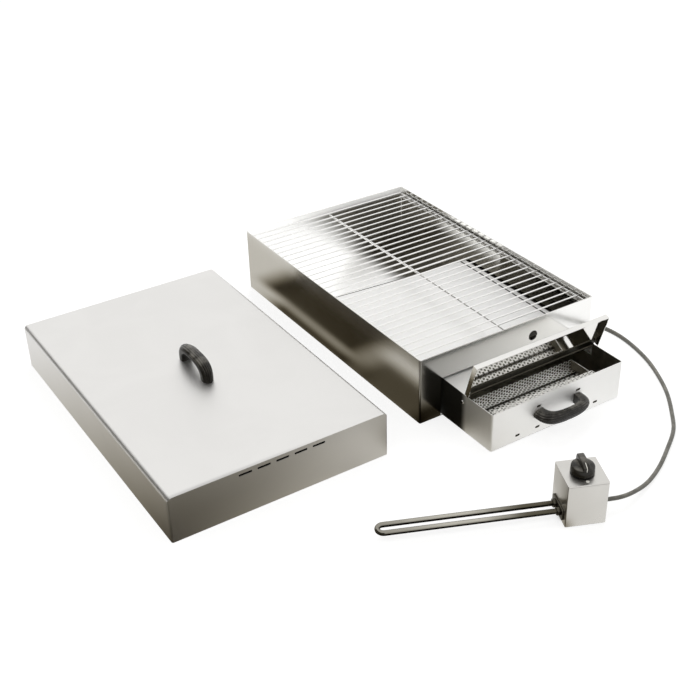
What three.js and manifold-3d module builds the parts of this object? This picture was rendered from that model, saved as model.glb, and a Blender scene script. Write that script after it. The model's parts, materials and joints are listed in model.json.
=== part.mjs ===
// Table-top electric food smoker of sheet steel, laid out open beside its lid and its heater.
// Millimetres, +Z up. The origin is the centre of the body's underside, -Y is the drawer's end.
import * as THREE from 'three';
import { mergeVertices } from 'three/addons/utils/BufferGeometryUtils.js';
import Module from 'manifold-3d';

const wasm = await Module();
wasm.setup();

// Sheet steel and fits
const sheet = 1;
const seam = 0.3;
const overrun = 4;
const bendSteps = 3;
const slotSteps = 2;
const circleSteps = 12;
const screwSides = 8;
const boreSides = 10;
const roundSides = 12;
const mergeTolerance = 0.0003;

// Body
const bodyLength = 560;
const bodyWidth = 358;
const bodyHeight = 118;
const bodyCorner = 2.5;
const hemHeight = 7;
const ventRadius = 9;
const ventSide = 50;
const ventWeb = 5.3;
const wallPanel = 80;

// Drawer
const drawerWidth = 268;
const drawerTop = 69;
const drawerDepth = 280;
const drawerOut = 123.5;
const drawerCorner = 3;
const drawerBackHeight = 38;
const drawerGap = 2.2;
const openingHead = 0.7;
const airSlotLength = 9;
const airSlotHeight = 4;
const airSlotPitch = 40.5;
const airSlotLow = 11.5;
const airSlotHigh = 50.8;
const lapDepth = 22;
const rivetRadius = 1.6;
const rivetHeadRadius = 3.2;
const rivetHeadHeight = 1.3;
const rivetDrop = 15;
const rivetSetback = 7;
const rivetTailShare = 0.8;

// Drip plate over the drawer, and the drawer's guides
const dripLength = 285;
const dripLow = 76.5;
const dripRise = 16;
const dripLip = 3.5;
const guideFoot = 12;

// Hinged cover and its continuous hinge
const coverReach = 65.5;
const coverLip = 9;
const coverLift = 0.9;
const coverAngle = THREE.MathUtils.degToRad(73.6);
const knuckleRadius = 2.2;
const knuckleBore = 1.15;
const pinRadius = 0.75;
const knuckleCount = 21;
const leafWidth = 11;
const leafSheet = 0.8;

// Sawdust basket
const basketLength = 205;
const basketDepth = 52;
const basketFloor = 48;
const basketHolePitch = 8.6;
const basketHole = 4.6;
const basketHoleSides = 6;
const basketRimSheet = 0.4;
const basketSetback = 3;

// Food grid
const gridPitch = 18.1;
const crossWireRadius = 1.5;
const longWireRadius = 2;
const gridHeight = 110;
const gridSideGap = 2.5;
const weldDepth = 0.4;
const longWireInset = 9;
const longWireEndGap = 8;
const wireSides = 6;

// Ledges that carry the grid
const ledgeWidth = 12;
const ledgeDrop = 7;
const ledgeEndGap = 12;

// Lid, lying on the table beside the body
const lidPlay = 3;
const lidHeight = 78;
const lidBend = 8;
const lidCorner = 3;
const lidHem = 5;
const lidCentreX = -449.4;
const lidCentreY = -32.5;
const lidSlots = 5;
const lidSlotPitch = 30.6;
const lidSlotLength = 21.5;
const lidSlotHeight = 3.6;
const lidSlotDrop = 7.9;
const restHeight = 14;
const restReach = 8;

// Bow handles
const handleSpan = 102;
const handleRise = 33;
const handleWidth = 21;
const handleThickness = 10;
const handleFoot = 19;
const footWidthShare = 0.86;
const handleGrooves = 4;
const grooveShare = 0.07;
const handleChamferShare = 0.12;
const handleCrownShare = 0.42;
const handleFullness = 0.65;
const handleSteps = 22;
const drawerHandleHeight = 36.5;
const lidHandleShift = -9;
const screwRadius = 2;
const screwHeadRadius = 4;
const screwHeadHeight = 2.4;
const screwDepth = 12;
const headCrownShare = 0.7;

// Heater: control box, its lid, feet, thermostat and knob
const heaterX = -120;
const heaterY = -585;
const heaterTurn = -0.408;
const boxSide = 60;
const boxHeight = 72.8;
const boxCorner = 1.5;
const boxLidDepth = 2.4;
const footHeight = 1.5;
const footRadius = 4;
const footInset = 9;
const footTreadShare = 0.7;
const thermostatSide = 42;
const thermostatHeight = 34;
const bushingRadius = 5;
const bushingHeight = 1;
const shaftRadius = 3;
const shaftRise = 12;
const knobRadius = 17.5;
const knobSkirt = 12;
const knobBevel = 1.5;
const knobLift = 1.5;
const gripHeight = 9.5;
const gripWidth = 10;
const gripSlope = 4.5;
const knobWall = 2.5;
const knobSides = 32;

// Heating element
const elementRadius = 4.2;
const elementSpacing = 18;
const elementReach = 267;
const elementHeight = 15;
const elementInside = 10;
const elementSides = 10;
const elementBendSteps = 10;
const flangeLength = 44;
const flangeHeight = 18;
const flangeSheet = 2;
const flangeCorner = 4;
const nutRadius = 7;
const nutHeight = 4;
const nutSides = 6;
const entryPlay = 1.6;
const elementBehindFront = 33;

// Cord, coil, tie and plug
const cordRadius = 3.3;
const cordSides = 10;
const cordSteps = 50;
const cordHeight = 17;
const floorGap = 0.1;
const bushRadius = 6.5;
const bushLip = 3;
const bushNeck = 4.6;
const bushTaperShare = 0.85;
const coilX = 250;
const coilY = -20;
const coilMidRadius = 37.5;
const coilPitch = 7.3;
const coilTurns = 4;
const coilLoopSteps = 24;
const coilSides = 6;
const coilTail = 62;
const climbShare = 0.25;
const tailSteps = 8;
const tieSheet = 1;
const tieWidth = 8;
const tieSlack = 0.8;
const plugRadius = 18;
const plugGrip = 14;
const plugLength = 46;
const plugNeck = 5;
const plugNeckLength = 14;
const plugNeckFlare = 0.4;
const plugBevel = 1.5;
const plugSides = 20;
const plugWaistShare = 0.86;
const plugWaistPlaceShare = 0.45;
const plugFaceShare = 0.3;
const plugPinRadius = 2.4;
const plugPinLength = 19;
const plugPinSpacing = 19;

// The route of the cord's free stretch in plan and height, after it leaves the heater
const cordRoute = [
  [-62, -607.7, 16], [-36, -606.4, 11.5], [4, -597, 5.2], [46.5, -579.2, 3.5], [90, -554, 3.5],
  [136.7, -522.5, 3.5], [168, -489, 3.5], [203.5, -444, 3.5], [228.7, -401, 3.5],
  [250.5, -352.6, 3.5], [265, -297, 3.5], [268.5, -257, 3.5], [263, -224, 3.5],
  [248, -194, 3.5], [226, -158, 3.5], [210, -118, 3.7],
];

// Places worked out from the sizes above
const halfWidth = bodyWidth / 2;
const halfLength = bodyLength / 2;
const drawerBase = sheet + seam;
const drawerHalf = drawerWidth / 2;
const drawerFront = -halfLength - drawerOut;
const drawerBack = drawerFront + drawerDepth;
const coverHalf = drawerHalf + seam + sheet;
const guideHalf = coverHalf + drawerGap;
const hingeHalf = drawerHalf - 2 * (sheet + seam);
const hingeY = drawerFront + coverReach;
const plateTop = drawerTop;
const leafTop = plateTop - sheet - seam;
const hingeZ = leafTop - leafSheet + knuckleRadius;
const coverBase = hingeZ + coverLift;
const openingTop = hingeZ + knuckleRadius + openingHead;
const dripFront = -halfLength + bodyCorner;
const ventZ = openingTop + ventWeb + ventRadius;
const elementInDrawer = drawerFront + elementBehindFront;
const elementInBody = -halfLength + elementBehindFront;
const entryLength = elementSpacing + 2 * (elementRadius + entryPlay);
const entryHeight = 2 * (elementRadius + entryPlay);
const lidWidth = bodyWidth + 2 * (lidPlay + sheet);
const lidLength = bodyLength + 2 * (lidPlay + sheet);
const longWireEnd = halfLength - 2 * sheet - longWireEndGap;
const crossWires = 2 * Math.floor((longWireEnd - longWireRadius) / gridPitch) + 1;

// Materials
const steel = new THREE.MeshStandardMaterial({ color: 0xd9d8d3, roughness: 0.28, metalness: 1 });
const polished = new THREE.MeshStandardMaterial({ color: 0xe2e1dc, roughness: 0.08, metalness: 1 });
const wire = new THREE.MeshStandardMaterial({ color: 0xefeee9, roughness: 0.3, metalness: 0.9 });
const black = new THREE.MeshStandardMaterial({ color: 0x17150f, roughness: 0.3, metalness: 0 });
const element = new THREE.MeshStandardMaterial({ color: 0x8d8a80, roughness: 0.35, metalness: 0.9 });
const rubber = new THREE.MeshStandardMaterial({ color: 0x57564f, roughness: 0.6, metalness: 0 });
const brass = new THREE.MeshStandardMaterial({ color: 0xc9b27a, roughness: 0.3, metalness: 1 });
const ceramic = new THREE.MeshStandardMaterial({ color: 0xcfc9b8, roughness: 0.7, metalness: 0 });

// Turns a closed geometry into a solid that can be joined and cut.
function solid(geometry) {
  const bare = geometry.clone();
  bare.deleteAttribute('normal');
  bare.deleteAttribute('uv');
  const merged = mergeVertices(bare, mergeTolerance);
  const triangles = [];
  for (let i = 0; i < merged.index.count; i += 3) {
    const [a, b, c] = [0, 1, 2].map((k) => merged.index.getX(i + k));
    if (a !== b && b !== c && c !== a) triangles.push(a, b, c);
  }
  return new wasm.Manifold(new wasm.Mesh({
    numProp: 3,
    vertProperties: new Float32Array(merged.attributes.position.array),
    triVerts: new Uint32Array(triangles),
  }));
}

// Gives a solid's surface back as a geometry.
function surface(shape) {
  const mesh = shape.getMesh();
  const geometry = new THREE.BufferGeometry();
  geometry.setAttribute('position', new THREE.BufferAttribute(new Float32Array(mesh.vertProperties), 3));
  geometry.setIndex(new THREE.BufferAttribute(new Uint32Array(mesh.triVerts), 1));
  return geometry;
}

// Makes a named mesh from a geometry or a solid.
function piece(name, shape, material) {
  const geometry = shape.isBufferGeometry ? shape : surface(shape);
  const flat = geometry.index ? geometry.toNonIndexed() : geometry;
  flat.computeVertexNormals();
  const mesh = new THREE.Mesh(flat, material);
  mesh.name = name;
  return mesh;
}

// Joins solids.
function join(...shapes) {
  return shapes.reduce((sum, next) => sum.add(next));
}

// Cuts the later solids from the first.
function cut(shape, ...tools) {
  return tools.reduce((rest, tool) => rest.subtract(tool), shape);
}

// A box between two corners.
function block(x0, x1, y0, y1, z0, z1) {
  const geometry = new THREE.BoxGeometry();
  const corners = geometry.attributes.position;
  for (let i = 0; i < corners.count; i += 1) {
    const [x, y, z] = [corners.getX(i), corners.getY(i), corners.getZ(i)];
    corners.setXYZ(i, x < 0 ? x0 : x1, y < 0 ? y0 : y1, z < 0 ? z0 : z1);
  }
  return solid(geometry);
}

// A rectangle with rounded corners, about its centre.
function roundedRectangle(width, height, radius, x = 0, y = 0) {
  const [w, h] = [width / 2, height / 2];
  const shape = new THREE.Shape();
  shape.absarc(x + w - radius, y + h - radius, radius, 0, Math.PI / 2);
  shape.absarc(x - w + radius, y + h - radius, radius, Math.PI / 2, Math.PI);
  shape.absarc(x - w + radius, y - h + radius, radius, Math.PI, 1.5 * Math.PI);
  shape.absarc(x + w - radius, y - h + radius, radius, 1.5 * Math.PI, 2 * Math.PI);
  shape.closePath();
  return shape;
}

// A regular polygon, its first corner turned on by a share of one side.
function polygon(sides, radius, x = 0, y = 0, turnShare = 0.5) {
  const corners = [];
  for (let i = 0; i < sides; i += 1) {
    const angle = (2 * Math.PI * (i + turnShare)) / sides;
    corners.push(new THREE.Vector2(x + radius * Math.cos(angle), y + radius * Math.sin(angle)));
  }
  return new THREE.Shape(corners);
}

// A shape from a list of corners.
function outline(corners) {
  return new THREE.Shape(corners.map(([x, y]) => new THREE.Vector2(x, y)));
}

// Extrudes a shape of X and Y upwards.
function alongZ(shape, from, to, curveSegments = bendSteps) {
  const options = { depth: to - from, bevelEnabled: false, curveSegments };
  return new THREE.ExtrudeGeometry(shape, options).translate(0, 0, from);
}

// Extrudes a shape of X and Z along Y.
function alongY(shape, from, to, curveSegments = bendSteps) {
  const geometry = alongZ(shape, 0, to - from, curveSegments);
  return geometry.rotateX(Math.PI / 2).translate(0, to, 0);
}

// Extrudes a shape of Y and Z along X.
function alongX(shape, from, to, curveSegments = bendSteps) {
  const turn = new THREE.Matrix4().makeBasis(
    new THREE.Vector3(0, 1, 0),
    new THREE.Vector3(0, 0, 1),
    new THREE.Vector3(1, 0, 0),
  );
  return alongZ(shape, 0, to - from, curveSegments).applyMatrix4(turn).translate(from, 0, 0);
}

// Revolves a profile of radius and height about Z.
function revolve(profile, sides) {
  const points = profile.map(([radius, height]) => new THREE.Vector2(radius, height));
  return new THREE.LatheGeometry(points, sides).rotateX(Math.PI / 2);
}

// The oblong hole that the heating element's two legs pass through, along X.
function elementEntry(y, from, to) {
  const slot = roundedRectangle(entryLength, entryHeight, entryHeight / 2 - seam, y, elementHeight);
  return solid(alongX(slot, from, to));
}

// An open box: walls and floor of one sheet.
function tray(width, length, height, radius) {
  const outer = solid(alongZ(roundedRectangle(width, length, radius), 0, height));
  const hollow = roundedRectangle(width - 2 * sheet, length - 2 * sheet, radius - sheet);
  return cut(outer, solid(alongZ(hollow, sheet, height + overrun)));
}

// The safe edge: a second sheet folded in round the rim.
function rimHem(width, length, top, radius) {
  const outer = roundedRectangle(width - sheet, length - sheet, radius - sheet / 2);
  outer.holes.push(roundedRectangle(width - 4 * sheet, length - 4 * sheet, sheet / 2));
  return solid(alongZ(outer, top - hemHeight, top));
}

// The body as one fold of sheet: tray, safe edge, drawer opening, round vent and the element's entry.
function foldedBody() {
  const box = join(
    tray(bodyWidth, bodyLength, bodyHeight, bodyCorner),
    rimHem(bodyWidth, bodyLength, bodyHeight, bodyCorner),
  );
  const opening = block(
    -guideHalf, guideHalf, -halfLength - overrun, -halfLength + overrun, sheet, openingTop,
  );
  const vent = new THREE.Shape().absarc(ventSide, ventZ, ventRadius, 0, 2 * Math.PI);
  const ventCut = solid(alongY(vent, -halfLength - overrun, -halfLength + overrun, circleSteps));
  const entry = elementEntry(elementInBody, halfWidth - overrun, halfWidth + overrun);
  return cut(box, opening, ventCut, entry);
}

// The body in three nodes, so that each pierced stretch of its wall is a small form of its own.
function bodyNodes() {
  const whole = foldedBody();
  const front = -halfLength + bodyCorner;
  const top = bodyHeight + overrun;
  const ventStretch = block(
    ventSide - wallPanel / 2, ventSide + wallPanel / 2, -halfLength - overrun, front, drawerTop, top,
  );
  const entryStretch = block(
    halfWidth - bodyCorner, halfWidth + overrun, front, front + wallPanel, bodyCorner, top,
  );
  return [
    piece('body_shell', cut(whole, ventStretch, entryStretch), steel),
    piece('vent_wall', whole.intersect(ventStretch), steel),
    piece('entry_wall', whole.intersect(entryStretch), steel),
  ];
}

// Height of the drip plate's underside at a place across the body.
function dripZ(x) {
  return dripLow + (dripRise * (guideHalf - x)) / (guideHalf + halfWidth);
}

// The sloping plate that sheds fat over the drawer, with a raised lip on its low side.
function dripPlate() {
  const left = -halfWidth + sheet + seam;
  const right = guideHalf + sheet;
  const profile = outline([
    [left, dripZ(left)], [right, dripZ(right)], [right, dripZ(right) + sheet + dripLip],
    [right - sheet, dripZ(right) + sheet + dripLip], [right - sheet, dripZ(right) + 2 * sheet],
    [left + sheet, dripZ(left) + sheet], [left + sheet, dripZ(left) + sheet + dripLip],
    [left, dripZ(left) + sheet + dripLip],
  ]);
  return piece('drip_plate', alongY(profile, dripFront, dripFront + dripLength), polished);
}

// One drawer guide: an angle that stands on the floor and carries the drip plate.
function drawerGuide(side) {
  const web = guideHalf + sheet;
  const top = dripZ(side > 0 ? web : -guideHalf) - seam;
  const angle = outline([
    [guideHalf, drawerBase], [web + guideFoot, drawerBase], [web + guideFoot, drawerBase + sheet],
    [web, drawerBase + sheet], [web, top], [guideHalf, top],
  ]);
  const guide = solid(alongY(angle, dripFront, dripFront + dripLength));
  if (side < 0) return piece('guide_left', guide.mirror([1, 0, 0]), steel);
  return piece('guide_right', cut(guide, elementEntry(elementInBody, guideHalf - overrun, web + overrun)), steel);
}

// One ledge: an angle along the long wall that the grid rests on.
function gridLedge(name, side) {
  const top = gridHeight - crossWireRadius + weldDepth - 2 * longWireRadius - seam;
  const wall = halfWidth - sheet - seam;
  const angle = outline([
    [wall - ledgeWidth, top - sheet], [wall - sheet, top - sheet], [wall - sheet, top - ledgeDrop],
    [wall, top - ledgeDrop], [wall, top], [wall - ledgeWidth, top],
  ]);
  const reach = halfLength - ledgeEndGap;
  const ledge = solid(alongY(angle, -reach, reach));
  return piece(name, side < 0 ? ledge.mirror([1, 0, 0]) : ledge, steel);
}

// The food grid: cross wires welded on three long wires.
function foodGrid() {
  const half = halfWidth - 2 * sheet - gridSideGap;
  const longZ = gridHeight - crossWireRadius - longWireRadius + weldDepth;
  const longX = halfWidth - longWireInset;
  const bars = [-longX, 0, longX].map((x) => {
    const section = polygon(wireSides, longWireRadius / Math.cos(Math.PI / wireSides), x, longZ, 0);
    return solid(alongY(section, -longWireEnd, longWireEnd));
  });
  const corner = crossWireRadius / Math.cos(Math.PI / wireSides);
  for (let i = 0; i < crossWires; i += 1) {
    const y = (i - (crossWires - 1) / 2) * gridPitch;
    bars.push(solid(alongX(polygon(wireSides, corner, y, gridHeight, 0), -half, half)));
  }
  return piece('food_grid', join(...bars), wire);
}

// The lid's outer form: a folded arch with square ends and softened upright corners.
function lidForm(inset) {
  const width = lidWidth - 2 * inset;
  const length = lidLength - 2 * inset;
  const top = lidHeight - inset;
  const bend = lidBend - inset;
  const low = -overrun * (inset > 0 ? 2 : 1);
  const arch = new THREE.Shape();
  arch.moveTo(-width / 2, low);
  arch.lineTo(width / 2, low);
  arch.absarc(width / 2 - bend, top - bend, bend, 0, Math.PI / 2);
  arch.absarc(-width / 2 + bend, top - bend, bend, Math.PI / 2, Math.PI);
  const plan = roundedRectangle(width, length, lidCorner - inset);
  const folded = solid(alongY(arch, -length / 2, length / 2, bendSteps + 1));
  return folded.intersect(solid(alongZ(plan, low, lidHeight + overrun)));
}

// The lid: a hollow form with a folded hem, a row of steam slots and holes for the handle.
function lidShell() {
  const hem = roundedRectangle(lidWidth - sheet, lidLength - sheet, lidCorner - sheet / 2);
  hem.holes.push(roundedRectangle(lidWidth - 4 * sheet, lidLength - 4 * sheet, sheet));
  const shell = join(cut(lidForm(0), lidForm(sheet)), solid(alongZ(hem, 0, lidHem)));
  const slots = [];
  for (let i = 0; i < lidSlots; i += 1) {
    const x = (i - (lidSlots - 1) / 2) * lidSlotPitch;
    const slot = roundedRectangle(
      lidSlotLength, lidSlotHeight, lidSlotHeight / 2 - seam, x, lidHeight - lidSlotDrop,
    );
    slots.push(solid(alongY(slot, -lidLength / 2 - overrun, -lidLength / 2 + overrun)));
  }
  const below = block(-lidWidth, lidWidth, -lidLength, lidLength, -4 * overrun, 0);
  const holes = screwPlaces().map(([y]) => {
    const hole = polygon(screwSides, screwRadius + 2 * seam, 0, y + lidHandleShift);
    return solid(alongZ(hole, lidHeight - overrun, lidHeight + overrun));
  });
  return piece('lid_shell', cut(shell, below, ...slots, ...holes), steel);
}

// One rest strip inside the lid, which seats it on the body's rim.
function lidRest(name, side) {
  const wall = lidWidth / 2 - sheet - seam;
  const angle = outline([
    [wall - restReach, restHeight], [wall, restHeight], [wall, restHeight + restReach],
    [wall - sheet, restHeight + restReach], [wall - sheet, restHeight + sheet],
    [wall - restReach, restHeight + sheet],
  ]);
  const reach = lidLength / 2 - sheet - lidBend;
  const strip = solid(alongY(angle, -reach, reach));
  return piece(name, side < 0 ? strip.mirror([1, 0, 0]) : strip, steel);
}

// Where the two screws of a bow handle stand along it.
function screwPlaces() {
  const reach = (handleSpan - handleFoot) / 2;
  return [[-reach], [reach]];
}

// The handle's section as shares of its width and thickness: flat inside, crowned and grooved outside.
function handleSection() {
  const edge = 1 - handleChamferShare;
  const corners = [[edge, 0], [1, handleChamferShare], [1, edge - handleCrownShare]];
  const bands = 2 * (handleGrooves + 1);
  for (let i = 0; i <= bands; i += 1) {
    const across = edge * (1 - (2 * i) / bands);
    const groove = i % 2 === 0 && i > 0 && i < bands ? grooveShare : 0;
    corners.push([across, 1 - handleCrownShare * across * across - groove]);
  }
  corners.push([-1, edge - handleCrownShare], [-1, handleChamferShare], [-edge, 0]);
  return corners;
}

// The handle's section at a share of the way from foot to foot: thicker and narrower at the feet.
function handleRing(share) {
  const angle = Math.PI * share;
  const along = -Math.sign(Math.cos(angle)) * Math.abs(Math.cos(angle)) ** handleFullness;
  const up = Math.max(Math.sin(angle), 0) ** handleFullness;
  const inner = [along * (handleSpan / 2 - handleFoot), up * (handleRise - handleThickness)];
  const outer = [(along * handleSpan) / 2, up * handleRise];
  const half = (handleWidth / 2) * (footWidthShare + (1 - footWidthShare) * Math.sin(angle));
  return handleSection().map(([across, out]) => [
    inner[0] + (outer[0] - inner[0]) * out, half * across, inner[1] + (outer[1] - inner[1]) * out,
  ]);
}

// Joins rings of one section into a solid, closed at both ends.
function loft(rings, section) {
  const count = section.length;
  const corner = (ring, i) => rings[ring][i % count];
  const faces = [];
  for (let ring = 0; ring < rings.length - 1; ring += 1) {
    for (let i = 0; i < count; i += 1) {
      const [a, b] = [corner(ring, i), corner(ring, i + 1)];
      const [c, d] = [corner(ring + 1, i + 1), corner(ring + 1, i)];
      faces.push(a, b, c, a, c, d);
    }
  }
  const flat = section.map(([x, y]) => new THREE.Vector2(x, y));
  for (const [a, b, c] of THREE.ShapeUtils.triangulateShape(flat, [])) {
    const last = rings.length - 1;
    faces.push(corner(0, c), corner(0, b), corner(0, a), corner(last, a), corner(last, b), corner(last, c));
  }
  const geometry = new THREE.BufferGeometry();
  geometry.setAttribute('position', new THREE.Float32BufferAttribute(faces.flat(), 3));
  return solid(geometry);
}

// A bow handle standing on the plane z = 0 along X, with a screw hole up each foot.
function bowHandle() {
  const rings = [];
  for (let i = 0; i <= handleSteps; i += 1) rings.push(handleRing(i / handleSteps));
  const bores = screwPlaces().map(([x]) => {
    const bore = polygon(screwSides, screwRadius + seam, x, 0);
    return solid(alongZ(bore, -overrun, screwDepth + seam));
  });
  return cut(loft(rings, handleSection()), ...bores);
}

// A pan-head screw pointing up, its head under z = 0.
function screw() {
  const head = screwHeadRadius;
  return revolve([
    [0, -screwHeadHeight], [headCrownShare * head, -screwHeadHeight], [head, -screwHeadHeight / 2],
    [head, 0], [screwRadius, 0], [screwRadius, screwDepth + sheet], [0, screwDepth + sheet],
  ], screwSides);
}

// The lid with its handle, screws and rest strips, as a group.
function lid() {
  const group = new THREE.Group();
  group.position.set(lidCentreX, lidCentreY, 0);
  group.add(lidShell(), lidRest('lid_rest_left', -1), lidRest('lid_rest_right', 1));
  const handle = piece('lid_handle', bowHandle(), black);
  handle.rotation.z = Math.PI / 2;
  handle.position.set(0, lidHandleShift, lidHeight + seam);
  group.add(handle);
  screwPlaces().forEach(([y], i) => {
    const fastener = piece(`lid_screw_${i + 1}`, screw(), polished);
    fastener.position.set(0, y + lidHandleShift, lidHeight - sheet - seam);
    group.add(fastener);
  });
  return group;
}

// The drawer's box: rounded front corners, a low back, air slots and holes.
function drawerBox() {
  const shell = tray(drawerWidth, drawerDepth, drawerTop - drawerBase, drawerCorner)
    .translate([0, drawerFront + drawerDepth / 2, drawerBase]);
  const inner = drawerHalf - sheet;
  const back = block(
    -inner, inner, drawerBack - overrun, drawerBack + overrun, drawerBackHeight, drawerTop + overrun,
  );
  const slots = [];
  const places = [[-1, airSlotHigh], [1, airSlotHigh], [-2, airSlotLow], [-1, airSlotLow],
    [1, airSlotLow], [2, airSlotLow]];
  for (const [column, z] of places) {
    const slot = roundedRectangle(
      airSlotLength, airSlotHeight, airSlotHeight / 2 - seam, column * airSlotPitch, z,
    );
    slots.push(solid(alongY(slot, drawerFront - overrun, drawerFront + overrun, slotSteps)));
  }
  const holes = screwPlaces().map(([x]) => {
    const hole = polygon(screwSides, screwRadius + 2 * seam, x, drawerHandleHeight);
    return solid(alongY(hole, drawerFront - overrun, drawerFront + overrun));
  });
  const rivets = solid(alongX(polygon(screwSides, rivetRadius + seam, ...rivetPlace()), -drawerWidth, drawerWidth));
  const entry = elementEntry(elementInDrawer, drawerHalf - overrun, drawerHalf + overrun);
  return piece('drawer_box', cut(shell, back, ...slots, ...holes, rivets, entry), polished);
}

// Where the rivets of the fixed plate stand, as Y and Z.
function rivetPlace() {
  return [hingeY + rivetSetback, drawerTop - rivetDrop];
}

// The fixed plate over the back of the drawer, with lapped sides inside its walls.
function drawerPlate() {
  const half = drawerHalf - sheet - seam;
  const front = hingeY + knuckleRadius + seam;
  const back = drawerBack - sheet - seam;
  const profile = outline([
    [-half, plateTop - lapDepth], [-half + sheet, plateTop - lapDepth],
    [-half + sheet, plateTop - sheet], [half - sheet, plateTop - sheet],
    [half - sheet, plateTop - lapDepth], [half, plateTop - lapDepth], [half, plateTop],
    [-half, plateTop],
  ]);
  const rivets = solid(alongX(polygon(screwSides, rivetRadius + seam, ...rivetPlace()), -drawerWidth, drawerWidth));
  return piece('drawer_plate', cut(solid(alongY(profile, front, back)), rivets), polished);
}

// A domed rivet through the drawer's side and the plate's lap.
function drawerRivet(name, side) {
  const grip = 2 * sheet + 2 * seam;
  const head = rivetHeadRadius;
  const shape = solid(revolve([
    [0, -grip - rivetHeadHeight], [rivetTailShare * head, -grip - rivetHeadHeight],
    [rivetTailShare * head, -grip], [rivetRadius, -grip], [rivetRadius, seam], [head, seam],
    [headCrownShare * head, seam + rivetHeadHeight], [0, seam + rivetHeadHeight],
  ], boreSides));
  const [y, z] = rivetPlace();
  const placed = shape.rotate([0, side * 90, 0]).translate([side * drawerHalf, y, z]);
  return piece(name, placed, polished);
}

// The basket's perforated floor, its holes in staggered rows.
function basketSheet(left, right, front, back) {
  const sheetShape = outline([[left, front], [right, front], [right, back], [left, back]]);
  const rowPitch = basketHolePitch * Math.sqrt(0.75);
  const rows = Math.floor((basketDepth - basketHolePitch) / rowPitch);
  const columns = Math.floor(basketLength / basketHolePitch) - 1;
  const start = left + (basketLength - (columns - 0.5) * basketHolePitch) / 2;
  const first = front + (basketDepth - (rows - 1) * rowPitch) / 2;
  for (let row = 0; row < rows; row += 1) {
    for (let column = 0; column < columns; column += 1) {
      const x = start + basketHolePitch * (column + 0.5 * (row % 2));
      sheetShape.holes.push(polygon(basketHoleSides, basketHole / 2, x, first + row * rowPitch, 0));
    }
  }
  return solid(alongZ(sheetShape, basketFloor, basketFloor + leafSheet));
}

// The perforated sawdust basket: floor, three walls, two standing ends and a hooked rim.
function sawdustBasket() {
  const left = -drawerHalf + sheet + basketSetback;
  const right = left + basketLength;
  const front = drawerFront + sheet + basketSetback;
  const back = front + basketDepth;
  const foot = drawerBase + sheet + seam;
  const rimZ = drawerTop + seam;
  const floor = basketSheet(left, right, front, back);
  const wallTop = hingeZ - knuckleRadius - leafSheet - 2 * seam;
  const leafFront = hingeY - knuckleRadius - leafWidth - 2 * seam;
  const walls = [
    block(left, left + leafSheet, front, back, foot, wallTop),
    block(right - leafSheet, right, front, back, foot, wallTop),
    block(right - leafSheet, right, front, leafFront, basketFloor, rimZ),
    block(left, right, front, front + leafSheet, basketFloor, rimZ + basketRimSheet),
    block(left, right, back - leafSheet, back, basketFloor, wallTop),
    block(left, right, drawerFront, front + leafSheet, rimZ, rimZ + basketRimSheet),
  ];
  const door = block(
    left - overrun, right + overrun, elementInDrawer - entryLength / 2, elementInDrawer + entryLength / 2,
    foot - overrun, elementHeight + entryHeight / 2,
  );
  return piece('sawdust_basket', cut(join(floor, ...walls), door), polished);
}

// The sections of the continuous hinge that belong to one leaf, as pairs of X.
function knuckles(parity) {
  const pitch = (2 * hingeHalf) / knuckleCount;
  const start = (-pitch * knuckleCount) / 2;
  const spans = [];
  for (let i = parity; i < knuckleCount; i += 2) {
    spans.push([start + i * pitch + seam / 2, start + (i + 1) * pitch - seam / 2]);
  }
  return spans;
}

// One leaf of the hinge: a strip with its row of knuckles, bored for the pin.
function hingeLeaf(parity, stripZ, direction) {
  const away = knuckleRadius + seam;
  const far = away + leafWidth;
  const strip = direction > 0
    ? block(-hingeHalf, hingeHalf, hingeY + away, hingeY + far, stripZ, stripZ + leafSheet)
    : block(-hingeHalf, hingeHalf, hingeY - far, hingeY - away, stripZ, stripZ + leafSheet);
  const barrels = knuckles(parity).map(([from, to]) => join(
    solid(alongX(polygon(boreSides, knuckleRadius, hingeY, hingeZ), from, to)),
    direction > 0
      ? block(from, to, hingeY, hingeY + away + sheet, stripZ, stripZ + leafSheet)
      : block(from, to, hingeY - away - sheet, hingeY, stripZ, stripZ + leafSheet),
  ));
  const bore = solid(alongX(polygon(screwSides, knuckleBore, hingeY, hingeZ), -drawerWidth, drawerWidth));
  return cut(join(strip, ...barrels), bore);
}

// The drawer with its plate, basket, handle and the hinge's fixed half.
function drawer() {
  const group = new THREE.Group();
  group.add(drawerBox(), drawerPlate(), sawdustBasket());
  group.add(drawerRivet('drawer_rivet_left', -1), drawerRivet('drawer_rivet_right', 1));
  const handle = piece('drawer_handle', bowHandle(), black);
  handle.rotation.x = Math.PI / 2;
  handle.position.set(0, drawerFront - seam, drawerHandleHeight);
  group.add(handle);
  screwPlaces().forEach(([x], i) => {
    const fastener = piece(`drawer_screw_${i + 1}`, screw(), polished);
    fastener.rotation.x = Math.PI / 2;
    fastener.position.set(x, drawerFront + sheet + seam, drawerHandleHeight);
    group.add(fastener);
  });
  group.add(piece('hinge_leaf_fixed', hingeLeaf(0, leafTop - leafSheet, 1), polished));
  const pin = alongX(polygon(screwSides, pinRadius, hingeY, hingeZ), -hingeHalf, hingeHalf);
  group.add(piece('hinge_pin', pin, polished));
  return group;
}

// Turns a solid about the hinge's pin to where the cover stands open.
function opened(shape) {
  return shape
    .translate([0, -hingeY, -hingeZ])
    .rotate([-THREE.MathUtils.radToDeg(coverAngle), 0, 0])
    .translate([0, hingeY, hingeZ]);
}

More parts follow.
